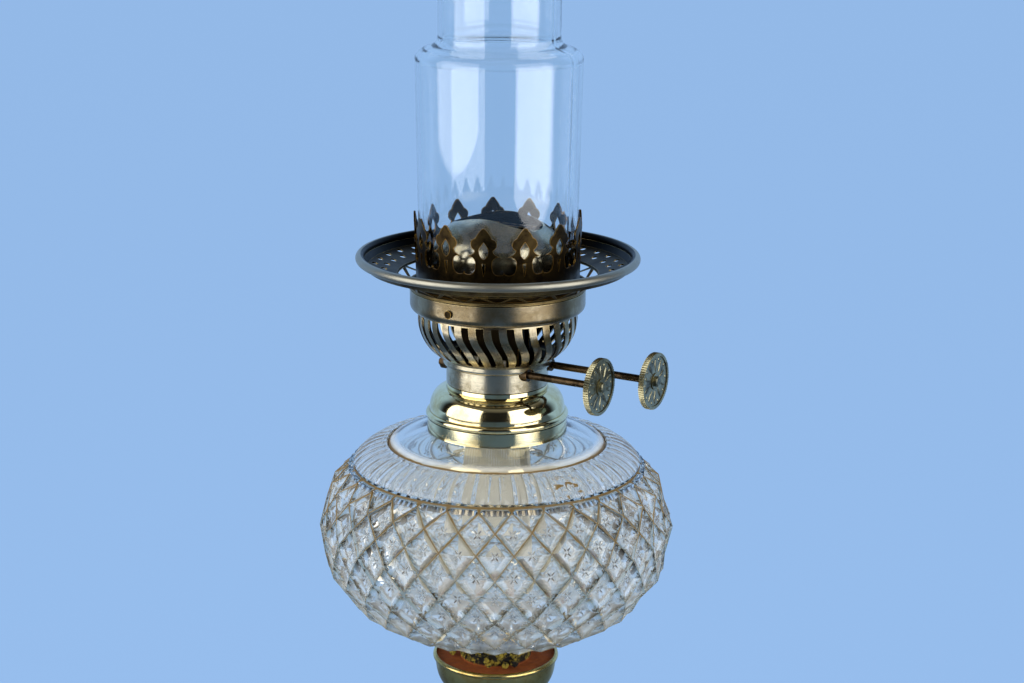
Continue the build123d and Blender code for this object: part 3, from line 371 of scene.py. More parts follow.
# A warm, even yellow with broad soft lights.
pillar_brass = brass(
    "turned brass, softly polished",
    worn="#E3CB84", dull="#B99A55", soot_grime_and_shade="#4A3716", edge="#F4E2A8",
    gloss=(0.16, 0.30), stain_mm=14.0, grime_and_shade_mm=3.0, edge_mm=0.4, rings=0.25,
)
# Greyish and dull, so that the stamped pattern shows by its dark grounds, which are grime and painted shade.
knob_brass = brass(
    "stamped brass, milled and dulled",
    worn="#AAA588", dull="#5E6258", soot_grime_and_shade="#12120E", edge="#E2CD86",
    gloss=(0.28, 0.42), stain_mm=4.0, grime_and_shade_mm=1.0, edge_mm=0.25, rings=0.1,
)
# A dark rod with a single narrow light along it.
spindle_bronze = brass(
    "drawn brass rod, blackened",
    worn="#51422F", dull="#211A13", soot_grime_and_shade="#0A0806", edge="#8F6B42",
    gloss=(0.26, 0.45), stain_mm=6.0, grime_and_shade_mm=2.0, edge_mm=0.25, rings=0.0,
)

# %% [markdown]
# ## Glass
# The font is pressed lead glass about 5 mm thick, cut outside and smooth inside, with decades of ochre dirt in its
# cuts. Where the dirt lies comes from the mesh itself: an attribute is 1 at the bottom of each cut and 0 on the faces
# between them. Each diamond also carries a tiny star in the shape of an X, which is too small to model on hundreds of
# faces and is drawn from a UV map in millimetres round the diamond's middle.

# %% Where dirt lies in the cuts
GLASS_CLEAR = "#FCFBF6"
DIRT_PALE = "#C2B28A"
# Dried oil and dust, whose pale colour also paints a sheen of refracted light.
DRIED_OIL_AND_SHEEN = "#F5EFDA"
DIRT_OCHRE = "#7A6232"
DIRT_DARK = "#45331A"
PATCH_MM = 6.0
PATCHINESS = 0.6
SETTLED_MM = {
    # where: (heights between which the dirt grows thicker, how much thicker)
    "upper rows": ((254, 272), 0.22),
    "lowest row": ((234, 222), 0.04),
}

# Heavy glass gives hard white glints on the flats, and the dirt draws every cut as an ochre line.
cut_glass, place = start_material("pressed lead glass, cut and dirty in the cuts")
depth_in_cut = add_node(cut_glass, "Attribute", attribute_name="cut").outputs["Fac"]
height = add_node(cut_glass, "SeparateXYZ", {"Vector": place}).outputs["Z"]
patchy = add_node(cut_glass, "TexNoise", {"Vector": place, "Scale": 1 / (PATCH_MM * MM), "Detail": 3.0})
packed = add_node(cut_glass, "Math", {0: patchy, 1: PATCHINESS, 2: depth_in_cut}, operation="MULTIPLY_ADD")
for where, ((start, end), thicker) in SETTLED_MM.items():
    settled = add_node(
        cut_glass, "MapRange", {"Value": height, "From Min": start * MM, "From Max": end * MM, "To Max": thicker}
    )
    packed = add_node(cut_glass, "Math", {0: packed, 1: settled}, operation="ADD")
    print("dirt in the", where, "from", start, "mm")
cut_dirt = add_node(
    cut_glass, "MapRange", {"Value": packed, "From Min": 1.25, "From Max": 1.43}, interpolation_type="SMOOTHSTEP"
)

# %% Flecks of dried oil on the rolled band
FLECKS_AT = (0.0497, -0.028, 0.289)
FLECKS_REACH_MM = (10, 5)
FLECK_MM = 2.2

reach = add_node(cut_glass, "VectorMath", {0: place, 1: FLECKS_AT}, operation="DISTANCE")
near = add_node(
    cut_glass, "MapRange", {"Value": reach, "From Min": FLECKS_REACH_MM[0] * MM, "From Max": FLECKS_REACH_MM[1] * MM}
)
fleck_grain = add_node(cut_glass, "TexNoise", {"Vector": place, "Scale": 1 / (FLECK_MM * MM), "Detail": 2.0})
fleck = add_node(cut_glass, "MapRange", {"Value": fleck_grain, "From Min": 0.54, "From Max": 0.58})
flecks = add_node(cut_glass, "Math", {0: near, 1: fleck}, operation="MULTIPLY")
cut_dirt = add_node(cut_glass, "Math", {0: cut_dirt, 1: flecks}, operation="MAXIMUM")
print("flecks at", FLECKS_AT)

# %% Star cuts
STAR_RAY_MM = (0.5, 2.6)
STAR_HALF_WIDTH_MM = 0.34

from_middle = add_node(cut_glass, "TexCoord").outputs["UV"]
across = add_node(cut_glass, "SeparateXYZ", {"Vector": from_middle})
turn = add_node(cut_glass, "Math", {0: across.outputs["Y"], 1: across.outputs["X"]}, operation="ARCTAN2")
reach = add_node(cut_glass, "VectorMath", {0: from_middle}, operation="LENGTH")
# One wave is zero along eight rays. The other is largest on the diagonal four, and leaves the rest of them faint.
ray_waves = {}
for rays_round in (4, 2):
    wave = add_node(cut_glass, "Math", {0: turn, 1: rays_round}, operation="MULTIPLY")
    wave = add_node(cut_glass, "Math", {0: wave}, operation="SINE")
    ray_waves[rays_round] = add_node(cut_glass, "Math", {0: wave}, operation="ABSOLUTE")
off_ray = add_node(cut_glass, "Math", {0: ray_waves[4], 1: reach}, operation="MULTIPLY")
ray_limits = (
    {"Value": off_ray, "From Min": 4 * STAR_HALF_WIDTH_MM, "From Max": 1.5 * STAR_HALF_WIDTH_MM},
    {"Value": reach, "From Min": STAR_RAY_MM[0], "From Max": STAR_RAY_MM[0] + 0.3},
    {"Value": reach, "From Min": STAR_RAY_MM[1], "From Max": STAR_RAY_MM[1] - 0.6},
    {"Value": ray_waves[2], "From Min": 0.2, "From Max": 0.8, "To Min": 0.12},
)
star = 1.0
for limit in ray_limits:
    inside_limit = add_node(cut_glass, "MapRange", limit)
    star = add_node(cut_glass, "Math", {0: inside_limit, 1: star}, operation="MULTIPLY")
star_patch = add_node(
    cut_glass, "MapRange", {"Value": patchy, "From Min": 0.35, "From Max": 0.6, "To Min": 0.55, "To Max": 1.0}
)
star_dirt = add_node(cut_glass, "Math", {0: star, 1: star_patch}, operation="MULTIPLY")
print("stars reach", STAR_RAY_MM[1], "mm from each diamond's middle")

# %% Clear glass, dried oil and dust with a painted sheen, and dirt together
# The film is dried oil inside and dust outside; its pale colour also paints the sheen that refracted light and glints
# give the glass.
film = add_node(cut_glass, "Attribute", attribute_name="film").outputs["Fac"]
film_patch = add_node(
    cut_glass, "MapRange", {"Value": patchy, "From Min": 0.3, "From Max": 0.7, "To Min": 0.7, "To Max": 1.0}
)
from_behind = add_node(cut_glass, "NewGeometry").outputs["Backfacing"]
lit_side = add_node(cut_glass, "Math", {0: 1.0, 1: from_behind}, operation="SUBTRACT")
for share in (film_patch, lit_side):
    film = add_node(cut_glass, "Math", {0: film, 1: share}, operation="MULTIPLY")
dirt = add_node(cut_glass, "Math", {0: cut_dirt, 1: star_dirt}, operation="MAXIMUM")
cover = add_node(cut_glass, "Math", {0: dirt, 1: film}, operation="MAXIMUM")
clear = add_node(cut_glass, "Math", {0: 1.0, 1: cover}, operation="SUBTRACT")
layers = (
    (depth_in_cut, linear(DIRT_PALE)),
    (film, linear(DRIED_OIL_AND_SHEEN)),
    (cut_dirt, linear(DIRT_OCHRE)),
    (star_dirt, linear(DIRT_DARK)),
)
colour = linear(GLASS_CLEAR)
for share, tint in layers:
    colour = add_node(cut_glass, "Mix", {"Factor": share, "A": colour, "B": tint}, data_type="RGBA")
roughness = add_node(cut_glass, "MapRange", {"Value": dirt, "From Max": 0.6, "To Min": 0.02, "To Max": 0.5})
notch = add_node(cut_glass, "Bump", {"Height": star, "Strength": 0.8, "Distance": 0.3 * MM}, invert=True)
close_material(
    cut_glass,
    {"Base Color": colour, "Transmission Weight": clear, "IOR": 1.54, "Roughness": roughness, "Normal": notch},
)

# %% [markdown]
# The chimney is thin blown glass. It is nearly invisible apart from what it mirrors, so it only needs a faint
# waviness, which bends the mirrored softboxes a little as blown glass does.

# %% Blown glass
WAVE_MM = 18.0
SMEAR_MM = 6.0
DRAWN_OUT = (1.0, 1.0, 0.25)

# Thin clear glass: the eye sees only its bright edges and the softboxes in it.
blown_glass, place = start_material("soda glass, blown")
drawn = add_node(blown_glass, "Mapping", {"Vector": place, "Scale": DRAWN_OUT})
waves = add_node(blown_glass, "TexNoise", {"Vector": drawn, "Scale": 1 / (WAVE_MM * MM), "Detail": 1.0})
smears = add_node(blown_glass, "TexNoise", {"Vector": drawn, "Scale": 1 / (SMEAR_MM * MM), "Detail": 4.0})
sheen = add_node(
    blown_glass, "MapRange", {"Value": smears, "From Min": 0.4, "From Max": 0.75, "To Min": 0.0, "To Max": 0.06}
)
ripple = add_node(blown_glass, "Bump", {"Height": waves, "Strength": 0.12, "Distance": 1 * MM})
close_material(
    blown_glass,
    {"Base Color": linear("#FAFCFC"), "Transmission Weight": 1.0, "IOR": 1.52, "Roughness": sheen, "Normal": ripple},
)

# %% [markdown]
# ## Plaster, cotton, felt, glaze, iron and steel
# Old plaster of Paris beds the font in its cup. Oil has stained its flat top orange-brown, and round the font's peg it
# has crumbled to yellow lumps, with black painted on them as the shade of the gaps between them. The wicks are
# plain-woven cotton tape, charred at their upper end. Felt, glaze, iron and steel have a recipe in common: one grain
# sets their tone, their gloss and their relief.

# %% Plaster
BED_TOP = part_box("socket_cup")[1].z - 1.6 * MM
GRAIN_MM = 4.0
LUMP_MM = 3.0
LUMPS_FROM, LUMPS_FULL = BED_TOP + 0.3 * MM, BED_TOP + 1.2 * MM

# Dry and matt: rust brown on the flat bed, yellow where it is broken, with black patches of painted shade for the gaps.
plaster, place = start_material("plaster of Paris, oil stained")
grain = add_node(plaster, "TexNoise", {"Vector": place, "Scale": 1 / (GRAIN_MM * MM), "Detail": 6.0, "Roughness": 0.7})
flat = add_node(plaster, "Mix", {"Factor": grain, "A": linear("#7A3813"), "B": linear("#C26A2E")}, data_type="RGBA")
broken = add_node(plaster, "TexVoronoi", {"Vector": place, "Scale": 1 / (LUMP_MM * MM), "Randomness": 1.0})
# Black patches on the lumps are painted shade, for the gaps between the crumbs.
soot_and_shade = add_node(plaster, "MapRange", {"Value": grain, "From Min": 0.47, "From Max": 0.55})
lumps = add_node(plaster, "Mix", {"Factor": soot_and_shade, "A": linear("#0D0B07"), "B": linear("#A69130")}, data_type="RGBA")
height = add_node(plaster, "SeparateXYZ", {"Vector": place}).outputs["Z"]
raised = add_node(plaster, "MapRange", {"Value": height, "From Min": LUMPS_FROM, "From Max": LUMPS_FULL})
colour = add_node(plaster, "Mix", {"Factor": raised, "A": flat, "B": lumps}, data_type="RGBA")
relief = add_node(plaster, "Bump", {"Height": broken.outputs["Distance"], "Strength": 0.6, "Distance": 0.6 * MM})
close_material(plaster, {"Base Color": colour, "Roughness": 0.85, "Normal": relief})

# %% Cotton
WICK_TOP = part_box("front_wick")[1].z
CHAR_DEPTH = 4 * MM
# The threads are 0.6 mm apart; they are drawn at 1.2 mm so that they show.
THREAD_MM = 1.2
# A wave texture draws about this many bands to each unit of its scale.
BANDS = 3.14

# Soft off-white with a fine woven grain, black where it has burnt.
cotton, place = start_material("cotton tape, plain woven and charred on top")
warp, weft = [
    add_node(
        cotton,
        "TexWave",
        {"Vector": place, "Scale": 1 / (THREAD_MM * MM) / BANDS, "Distortion": 0.6, "Detail": 1.0},
        bands_direction=across_threads,
    ).outputs["Fac"]
    for across_threads in ("X", "Z")
]
weave = add_node(cotton, "Math", {0: warp, 1: weft}, operation="MULTIPLY")
thread = add_node(cotton, "Mix", {"Factor": weave, "A": linear("#EFE4C6"), "B": linear("#FFFBF0")}, data_type="RGBA")
height = add_node(cotton, "SeparateXYZ", {"Vector": place}).outputs["Z"]
charred = add_node(
    cotton, "MapRange", {"Value": height, "From Min": WICK_TOP - CHAR_DEPTH, "From Max": WICK_TOP - CHAR_DEPTH / 4}
)
colour = add_node(cotton, "Mix", {"Factor": charred, "A": thread, "B": linear("#15110D")}, data_type="RGBA")
relief = add_node(cotton, "Bump", {"Height": weave, "Strength": 0.6, "Distance": 0.25 * MM})
close_material(cotton, {"Base Color": colour, "Roughness": 0.9, "Normal": relief})


# %% Felt, glaze, iron and steel
def grained(
    name, dark, light, gloss, grain_mm, grain, others, relief_mm=0.1, strength=0.0, pattern="TexNoise", **settings
):
    """A material whose tone, gloss and relief all follow one grain."""
    material, place = start_material(name)
    inputs = {"Vector": place, "Scale": 1 / (grain_mm * MM), **grain}
    grains = add_node(material, pattern, inputs, **settings).outputs["Fac"]
    colour = add_node(material, "Mix", {"Factor": grains, "A": linear(dark), "B": linear(light)}, data_type="RGBA")
    roughness = add_node(material, "MapRange", {"Value": grains, "To Min": gloss[0], "To Max": gloss[1]})
    relief = add_node(material, "Bump", {"Height": grains, "Strength": strength, "Distance": relief_mm * MM})
    close_material(material, {"Base Color": colour, "Roughness": roughness, "Normal": relief, **others})
    return material


# Deep green without any gloss, with a faint pale bloom of fibres at its edge.
felt = grained(
    "wool felt, pressed",
    dark="#16281A", light="#3B5A3F", gloss=(1.0, 1.0), grain_mm=1.5, grain={"Detail": 5.0, "Roughness": 0.8},
    relief_mm=0.4, strength=0.7, others={"Sheen Weight": 0.4},
)
# A wet-looking black with small soft waves in what it mirrors.
black_glaze = grained(
    "earthenware, black glazed",
    dark="#08080A", light="#241F1C", gloss=(0.08, 0.24), grain_mm=16.0, grain={"Detail": 3.0},
    relief_mm=0.6, strength=0.15, others={"Coat Weight": 0.6, "Coat Roughness": 0.04},
)
# A dark grey skin, rough as the sand that it was cast in.
cast_iron = grained(
    "iron, sand cast",
    dark="#2A2A2B", light="#5A5651", gloss=(0.65, 0.65), grain_mm=1.2, grain={"Detail": 4.0},
    relief_mm=0.3, strength=0.6, others={"Metallic": 1.0},
)
# Grey steel whose fine turning marks run round it.
mild_steel = grained(
    "mild steel, turned",
    dark="#6E6C69", light="#8F8D88", gloss=(0.3, 0.45), grain_mm=0.8 * BANDS, grain={"Distortion": 0.8},
    others={"Metallic": 1.0}, pattern="TexWave", bands_direction="Z",
)

# %% Finish every CAD node by its slot
finishes = {
    "aged_brass": aged_brass,
    "browned_brass": browned_brass,
    "dark_brass": dark_brass,
    "polished_brass": polished_brass,
    "pillar_brass": pillar_brass,
    "knob_brass": knob_brass,
    "spindle_bronze": spindle_bronze,
    "cut_glass": cut_glass,
    "chimney_glass": blown_glass,
    "cotton": cotton,
    "plaster": plaster,
    "black_glaze": black_glaze,
    "felt": felt,
    "iron": cast_iron,
    "steel": mild_steel,
}
for row in frame["record"]["subparts"]:
    mesh = cad_nodes[row["node"]].data
    mesh.materials.clear()
    mesh.materials.append(finishes[row["material_slot"]])
print(len(cad_nodes), "CAD nodes finished")

# %% [markdown]
# ## Cut-glass font
# The font is turned first: its smooth inside, mouth, shoulder and rolled band are one profile spun round the axis, and
# its foot and peg are another. Bezier lines give the profiles their curves, as a potter's rib would. The band between
# the two grooves is then fluted by pushing three of every five columns of points inwards. The diamond field is a
# lattice of its own, joined on afterwards.


# %% Editing helpers
def activate(*pieces):
    """Select some pieces and nothing else, and make the last of them active."""
    bpy.ops.object.select_all(action="DESELECT")
    for piece in pieces:
        piece.select_set(True)
    bpy.context.view_layer.objects.active = pieces[-1]


def edit(kind, action):
    """Go into edit mode for vertices, edges or faces, and select all of them or none."""
    bpy.ops.object.mode_set(mode="EDIT")
    bpy.ops.mesh.select_mode(type=kind)
    bpy.ops.mesh.select_all(action=action)


def pick(piece, wanted, kind="VERT"):
    """Select the vertices or edges of a piece that a test picks, and go into edit mode."""
    activate(piece)
    edit(kind, "DESELECT")
    bpy.ops.object.mode_set(mode="OBJECT")
    for element in piece.data.vertices if kind == "VERT" else piece.data.edges:
        element.select = bool(wanted(element))
    bpy.ops.object.mode_set(mode="EDIT")


def open_edges(piece):
    """Find the edges that only one face uses."""
    uses = Counter(key for face in piece.data.polygons for key in face.edge_keys)
    return {key for key, count in uses.items() if count == 1}


# %% Turning helpers
def curve_mm(start, first, second, end, count):
    """Points along a Bezier line, in millimetres, without its start."""
    t = np.linspace(0, 1, count + 1)[1:, None]
    corners = [np.array(p) for p in (start, first, second, end)]
    weights = ((1 - t) ** 3, 3 * t * (1 - t) ** 2, 3 * t**2 * (1 - t), t**3)
    return [tuple(p) for p in sum(w * c for w, c in zip(weights, corners))]


def turn_profile(name, profile_mm, steps):
    """Draw a profile of (radius, height) points by extruding a vertex, and spin it round the axis."""
    bpy.ops.object.select_all(action="DESELECT")
    bpy.ops.mesh.primitive_plane_add(size=MM, calc_uvs=False)
    turned = bpy.context.object
    turned.name = name
    edit("VERT", "SELECT")
    bpy.ops.mesh.merge(type="CENTER")
    points = [Vector((radius, 0, height)) * MM for radius, height in profile_mm]
    bpy.ops.transform.translate(value=points[0])
    for here, there in zip(points, points[1:]):
        bpy.ops.mesh.extrude_region_move(TRANSFORM_OT_translate={"value": there - here})
    bpy.ops.mesh.select_all(action="SELECT")
    bpy.ops.mesh.spin(steps=steps, angle=2 * math.pi, center=(0, 0, 0), axis=(0, 0, 1))
    bpy.ops.mesh.select_all(action="SELECT")
    bpy.ops.mesh.remove_doubles(threshold=0.002 * MM)
    bpy.ops.mesh.normals_make_consistent(inside=False)
    bpy.ops.object.mode_set(mode="OBJECT")
    return turned


# %% Font sizes, in millimetres
font_low, font_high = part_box("glass_font")
MOUTH_Z = font_high.z / MM
PEG_Z = font_low.z / MM
# The photograph's belly is a little fuller than the CAD solid's, by less than the relief of its cutting.
FULLER = 0.8
BELLY_R = font_high.x / MM + FULLER
BELLY_Z = 254.5
# How far each end of a Bezier line pulls, as a share of the height or width that the line spans.
BELLY_PULL_UP, BELLY_PULL_DOWN, BASE_PULL = 0.66, 0.28, 0.76
BASE_R, BASE_Z = 26.0, 214.5
PEG_R = 12.0
WALL = 5.5
LOWER_GROOVE_R, LOWER_GROOVE_Z = 59.7, 283.2
UPPER_GROOVE_R, UPPER_GROOVE_Z = 45.0, 293.5
SHOULDER_R, SHOULDER_Z = 28.7, 298.6
NECK_R, MOUTH_R = 23.5, 18.5
CUT_DEPTH = 1.0
FLUTES = 56
FLUTE_COLUMNS = 5
SPIN_STEPS = FLUTES * FLUTE_COLUMNS

inside_r = BELLY_R - WALL
floor_z = BASE_Z + WALL
inside = [(0.0, floor_z), (BASE_R, floor_z)]
inside += curve_mm(
    (BASE_R, floor_z),
    (BASE_R + BASE_PULL * (inside_r - BASE_R), floor_z),
    (inside_r, BELLY_Z - BELLY_PULL_DOWN * (BELLY_Z - floor_z)),
    (inside_r, BELLY_Z),
    14,
)
inside += curve_mm(
    (inside_r, BELLY_Z),
    (inside_r, BELLY_Z + 16),
    (LOWER_GROOVE_R - WALL / 2 + 4, LOWER_GROOVE_Z - WALL - 1),
    (UPPER_GROOVE_R - WALL / 2, UPPER_GROOVE_Z - WALL),
    12,
)
inside += [(SHOULDER_R, SHOULDER_Z - WALL - 1.1), (MOUTH_R + 1, SHOULDER_Z - WALL)]
inside += [(MOUTH_R, SHOULDER_Z - WALL + 1)]
neck = [(MOUTH_R, MOUTH_Z - 1), (MOUTH_R + 1, MOUTH_Z), (NECK_R - 1, MOUTH_Z), (NECK_R, MOUTH_Z - 1)]
neck += [(NECK_R, SHOULDER_Z)]
shoulder = curve_mm(
    (NECK_R, SHOULDER_Z),
    (SHOULDER_R, SHOULDER_Z),
    ((SHOULDER_R + UPPER_GROOVE_R) / 2, SHOULDER_Z - 1.0),
    (UPPER_GROOVE_R - 2.0, UPPER_GROOVE_Z + 1.0),
    8,
)
upper_groove = [
    (UPPER_GROOVE_R - 0.8, UPPER_GROOVE_Z - 0.1),
    (UPPER_GROOVE_R - 0.1, UPPER_GROOVE_Z - CUT_DEPTH),
]
roll_start = (UPPER_GROOVE_R + 0.5, UPPER_GROOVE_Z - 0.1)
roll_end = (LOWER_GROOVE_R - 0.5, LOWER_GROOVE_Z + 2.2)
roll = [roll_start]
roll += curve_mm(
    roll_start,
    (UPPER_GROOVE_R + 6.2, UPPER_GROOVE_Z - 0.1),
    (LOWER_GROOVE_R - 0.6, LOWER_GROOVE_Z + 4.6),
    roll_end,
    14,
)
lower_groove = [
    (LOWER_GROOVE_R - 0.85, LOWER_GROOVE_Z + 0.9),
    (LOWER_GROOVE_R - CUT_DEPTH, LOWER_GROOVE_Z + 0.3),
]
outside = shoulder + upper_groove + roll + lower_groove
upper_font = turn_profile("cut_glass_font", inside + neck + outside, SPIN_STEPS)
print("upper font", len(upper_font.data.vertices), "vertices")

# %% Flutes on the rolled band
FLUTE_DEPTHS = {2: 0.48, 3: 0.6, 4: 0.48}
BAND_FOOT = roll_end[1] + 0.1


def in_flute(column):
    """Pick one column of every flute, from just outside the upper groove to just above the lower one."""

    def wanted(vertex):
        x, y, z = vertex.co / MM
        turn = math.atan2(y, x) / (2 * math.pi) * SPIN_STEPS
        on_band = math.hypot(x, y) > UPPER_GROOVE_R + 1.5 and z > BAND_FOOT
        return on_band and round(turn) % FLUTE_COLUMNS == column

    return wanted


for column, depth in FLUTE_DEPTHS.items():
    pick(upper_font, in_flute(column))
    bpy.ops.transform.shrink_fatten(value=-depth * MM)
    bpy.ops.object.mode_set(mode="OBJECT")
print(FLUTES, "flutes")

# %% [markdown]
# The diamond field starts as a plain turned grid of thirty columns. Poking every face puts a point in its middle, and
# dissolving the grid's old edges leaves a lattice of diamonds: a quick way to turn squares by 45 degrees. The lattice
# is wrapped onto a smooth turned belly, a cut's depth below its surface. Each diamond is inset, raised and made flat,
# and a second poke lifts its middle into a low crown. The half-diamonds along the two borders are smaller, so they get
# a narrower inset of their own. What stays between the flats are the V-shaped cuts of the cutter's wheel.

# %% Diamond lattice
DIAMONDS_ROUND = 30
# The rows of the grid are measured along the side, from the top, with a margin above and below them.
ROW_LENGTHS = (17.5, 19.2, 18.6, 17.4, 14.4)
FIELD_MARGINS = (1.5, 12.0)
RING_CUTS = 7

side = [(LOWER_GROOVE_R, LOWER_GROOVE_Z)]
side += curve_mm(
    (LOWER_GROOVE_R, LOWER_GROOVE_Z),
    (LOWER_GROOVE_R + 3.9, LOWER_GROOVE_Z - 0.65),
    (BELLY_R, BELLY_Z + BELLY_PULL_UP * (LOWER_GROOVE_Z - BELLY_Z)),
    (BELLY_R, BELLY_Z),
    40,
)
side += curve_mm(
    (BELLY_R, BELLY_Z),
    (BELLY_R, BELLY_Z - BELLY_PULL_DOWN * (BELLY_Z - BASE_Z)),
    (BASE_R + BASE_PULL * (BELLY_R - BASE_R), BASE_Z),
    (BASE_R, BASE_Z),
    40,
)
belly = turn_profile("smooth_belly", side, 4 * DIAMONDS_ROUND)
side = np.array(side)
run = np.concatenate([[0], np.cumsum(np.hypot(*np.diff(side, axis=0).T))])


def along_side(runs):
    """Find the points of the side line at some distances along it."""
    return [(np.interp(s, run, side[:, 0]), np.interp(s, run, side[:, 1])) for s in runs]


row_shares = np.concatenate([[0], np.cumsum(ROW_LENGTHS)]) / sum(ROW_LENGTHS)
row_runs = FIELD_MARGINS[0] + row_shares * (run[-1] - sum(FIELD_MARGINS))
lattice = turn_profile("lattice", along_side(row_runs), DIAMONDS_ROUND)
edit("EDGE", "SELECT")
half_column = math.pi / DIAMONDS_ROUND
front_turn = VIEW_AZIMUTH - math.pi / 2 + half_column
bpy.ops.transform.rotate(value=-front_turn, orient_axis="Z", center_override=(0, 0, 0))
bpy.ops.object.mode_set(mode="OBJECT")
inner_grid = {edge.key for edge in lattice.data.edges} - open_edges(lattice)
edit("FACE", "SELECT")
bpy.ops.mesh.poke()
bpy.ops.object.mode_set(mode="OBJECT")
pick(lattice, lambda edge: edge.key in inner_grid, "EDGE")
bpy.ops.mesh.dissolve_edges(use_verts=False)
bpy.ops.object.mode_set(mode="OBJECT")
borders = open_edges(lattice)
crossings = len(lattice.data.vertices)
pick(lattice, lambda edge: edge.key in borders, "EDGE")
bpy.ops.mesh.subdivide(number_cuts=RING_CUTS)
bpy.ops.object.mode_set(mode="OBJECT")
print("lattice", len(lattice.data.polygons), "diamonds")

# %% Wrap the lattice and raise the diamonds
CUT_HALF_WIDTH = 2.1
HALF_DIAMOND_INSET = 1.7
CHAMFER = 0.5
FLAT_RISE = 1.5
CHAMFER_RISE = 0.2 * FLAT_RISE
CROWN = 0.8
# The haze is dust on the diamonds and also a painted sheen of refracted light and glints, heavier low on the font.
HAZE_LOW, HAZE_HIGH = 0.58, 0.24
CUT_HAZE_SHARE = 0.9

wrap = lattice.modifiers.new("onto the belly", "SHRINKWRAP")
wrap.target = belly
wrap.wrap_method = "NEAREST_SURFACEPOINT"
wrap.wrap_mode = "ON_SURFACE"
wrap.offset = -CUT_DEPTH * MM
activate(lattice)
bpy.ops.object.modifier_apply(modifier=wrap.name)
bpy.data.objects.remove(belly)
cut_level = len(lattice.data.vertices)
edit("FACE", "SELECT")
bpy.ops.mesh.normals_make_consistent(inside=False)
bpy.ops.mesh.select_all(action="DESELECT")
bpy.ops.mesh.select_face_by_sides(number=4, type="EQUAL")
bpy.ops.mesh.hide()
bpy.ops.mesh.select_all(action="SELECT")
bpy.ops.mesh.inset(thickness=HALF_DIAMOND_INSET * MM, depth=FLAT_RISE * MM, use_individual=True)
bpy.ops.mesh.select_all(action="DESELECT")
bpy.ops.mesh.reveal(select=True)
bpy.ops.mesh.inset(thickness=CUT_HALF_WIDTH * MM, depth=(FLAT_RISE - CHAMFER_RISE) * MM, use_individual=True)
bpy.ops.mesh.inset(thickness=CHAMFER * MM, depth=CHAMFER_RISE * MM, use_individual=True)
bpy.ops.mesh.face_make_planar(repeat=20)
bpy.ops.object.mode_set(mode="OBJECT")
first_crown = len(lattice.data.vertices)
bpy.ops.object.mode_set(mode="EDIT")
bpy.ops.mesh.poke(offset=CROWN * MM)
bpy.ops.object.mode_set(mode="OBJECT")
flat_reach = max(math.hypot(v.co.x, v.co.y) for v in lattice.data.vertices) / MM
print("diamonds reach", round(flat_reach, 2), "mm from the axis")
cut_depth = lattice.data.attributes.new("cut", "FLOAT", "POINT")
haze = lattice.data.attributes.new("film", "FLOAT", "POINT")
for vertex in lattice.data.vertices:
    cut_depth.data[vertex.index].value = float(vertex.index < crossings)
    # Dust and painted sheen, heavier towards the foot.
    haze_by_height = np.interp(vertex.co.z / MM, (BASE_Z, BELLY_Z + 10), (HAZE_LOW, HAZE_HIGH))
    in_cut_share = np.interp(vertex.co.z / MM, (BASE_Z + 8, BELLY_Z), (CUT_HAZE_SHARE, 0.0))
    haze.data[vertex.index].value = haze_by_height * (1.0 if vertex.index >= cut_level else in_cut_share)

star_map = lattice.data.uv_layers.new(name="star")
FAR_FROM_STAR = (50.0, 50.0)
STAR_SLIMNESS = 1.25
for face in lattice.data.polygons:
    crowns = [lattice.data.vertices[i] for i in face.vertices if i >= first_crown]
    for corner in face.loop_indices:
        star_map.data[corner].uv = FAR_FROM_STAR
        if crowns:
            middle = crowns[0].co
            outwards = Vector((middle.x, middle.y, 0)).normalized()
            sideways = Vector((-outwards.y, outwards.x, 0))
            upwards = crowns[0].normal.cross(sideways).normalized()
            offset = lattice.data.vertices[lattice.data.loops[corner].vertex_index].co - middle
            star_map.data[corner].uv = (STAR_SLIMNESS * offset.dot(sideways) / MM, offset.dot(upwards) / MM)
print(len(lattice.data.vertices) - first_crown, "diamonds carry a star")

# %% Turn the font's foot
SMOOTH_BELOW = math.radians(20)
foot_runs = np.linspace(row_runs[-1] + 1.5, run[-1], 6)
foot = along_side(foot_runs) + [(PEG_R, BASE_Z), (PEG_R, PEG_Z), (0.0, PEG_Z)]
lower_font = turn_profile("font_foot", foot, SPIN_STEPS)
for turned in (upper_font, lower_font):
    activate(turned)
    bpy.ops.object.shade_smooth_by_angle(angle=SMOOTH_BELOW)
print("font foot", len(lower_font.data.vertices), "vertices")

# %% Mark the turned grooves as cuts, and the dried oil inside and the dust outside, which also paint a pale sheen
# Dried oil inside and dust on the shoulder, bevel and band; their pale colour is also a painted sheen of refracted
# light.
FILM_FOOT, FILM_TOP = 0.35, 0.05
BAND_HAZE, SHOULDER_HAZE, BEVEL_HAZE = 0.22, 0.06, 0.6


def near_points(profile, radius, height):
    """Tell whether a place lies on one of a profile's points."""
    return any(math.hypot(radius - r, height - z) < 0.05 for r, z in profile)


groove_depth = upper_font.data.attributes.new("cut", "FLOAT", "POINT")
oil_film_and_sheen = upper_font.data.attributes.new("film", "FLOAT", "POINT")
for vertex in upper_font.data.vertices:
    radius, height = math.hypot(vertex.co.x, vertex.co.y) / MM, vertex.co.z / MM
    groove_depth.data[vertex.index].value = float(near_points(upper_groove + lower_groove, radius, height))
    if near_points(inside, radius, height):
        oil_film_and_sheen.data[vertex.index].value = np.interp(height, (floor_z, SHOULDER_Z), (FILM_FOOT, FILM_TOP))
    elif near_points(shoulder + upper_groove, radius, height):
        on_bevel = radius > UPPER_GROOVE_R - 2.5
        oil_film_and_sheen.data[vertex.index].value = BEVEL_HAZE if on_bevel else SHOULDER_HAZE
    elif radius > UPPER_GROOVE_R and BAND_FOOT < height < UPPER_GROOVE_Z:
        oil_film_and_sheen.data[vertex.index].value = BAND_HAZE
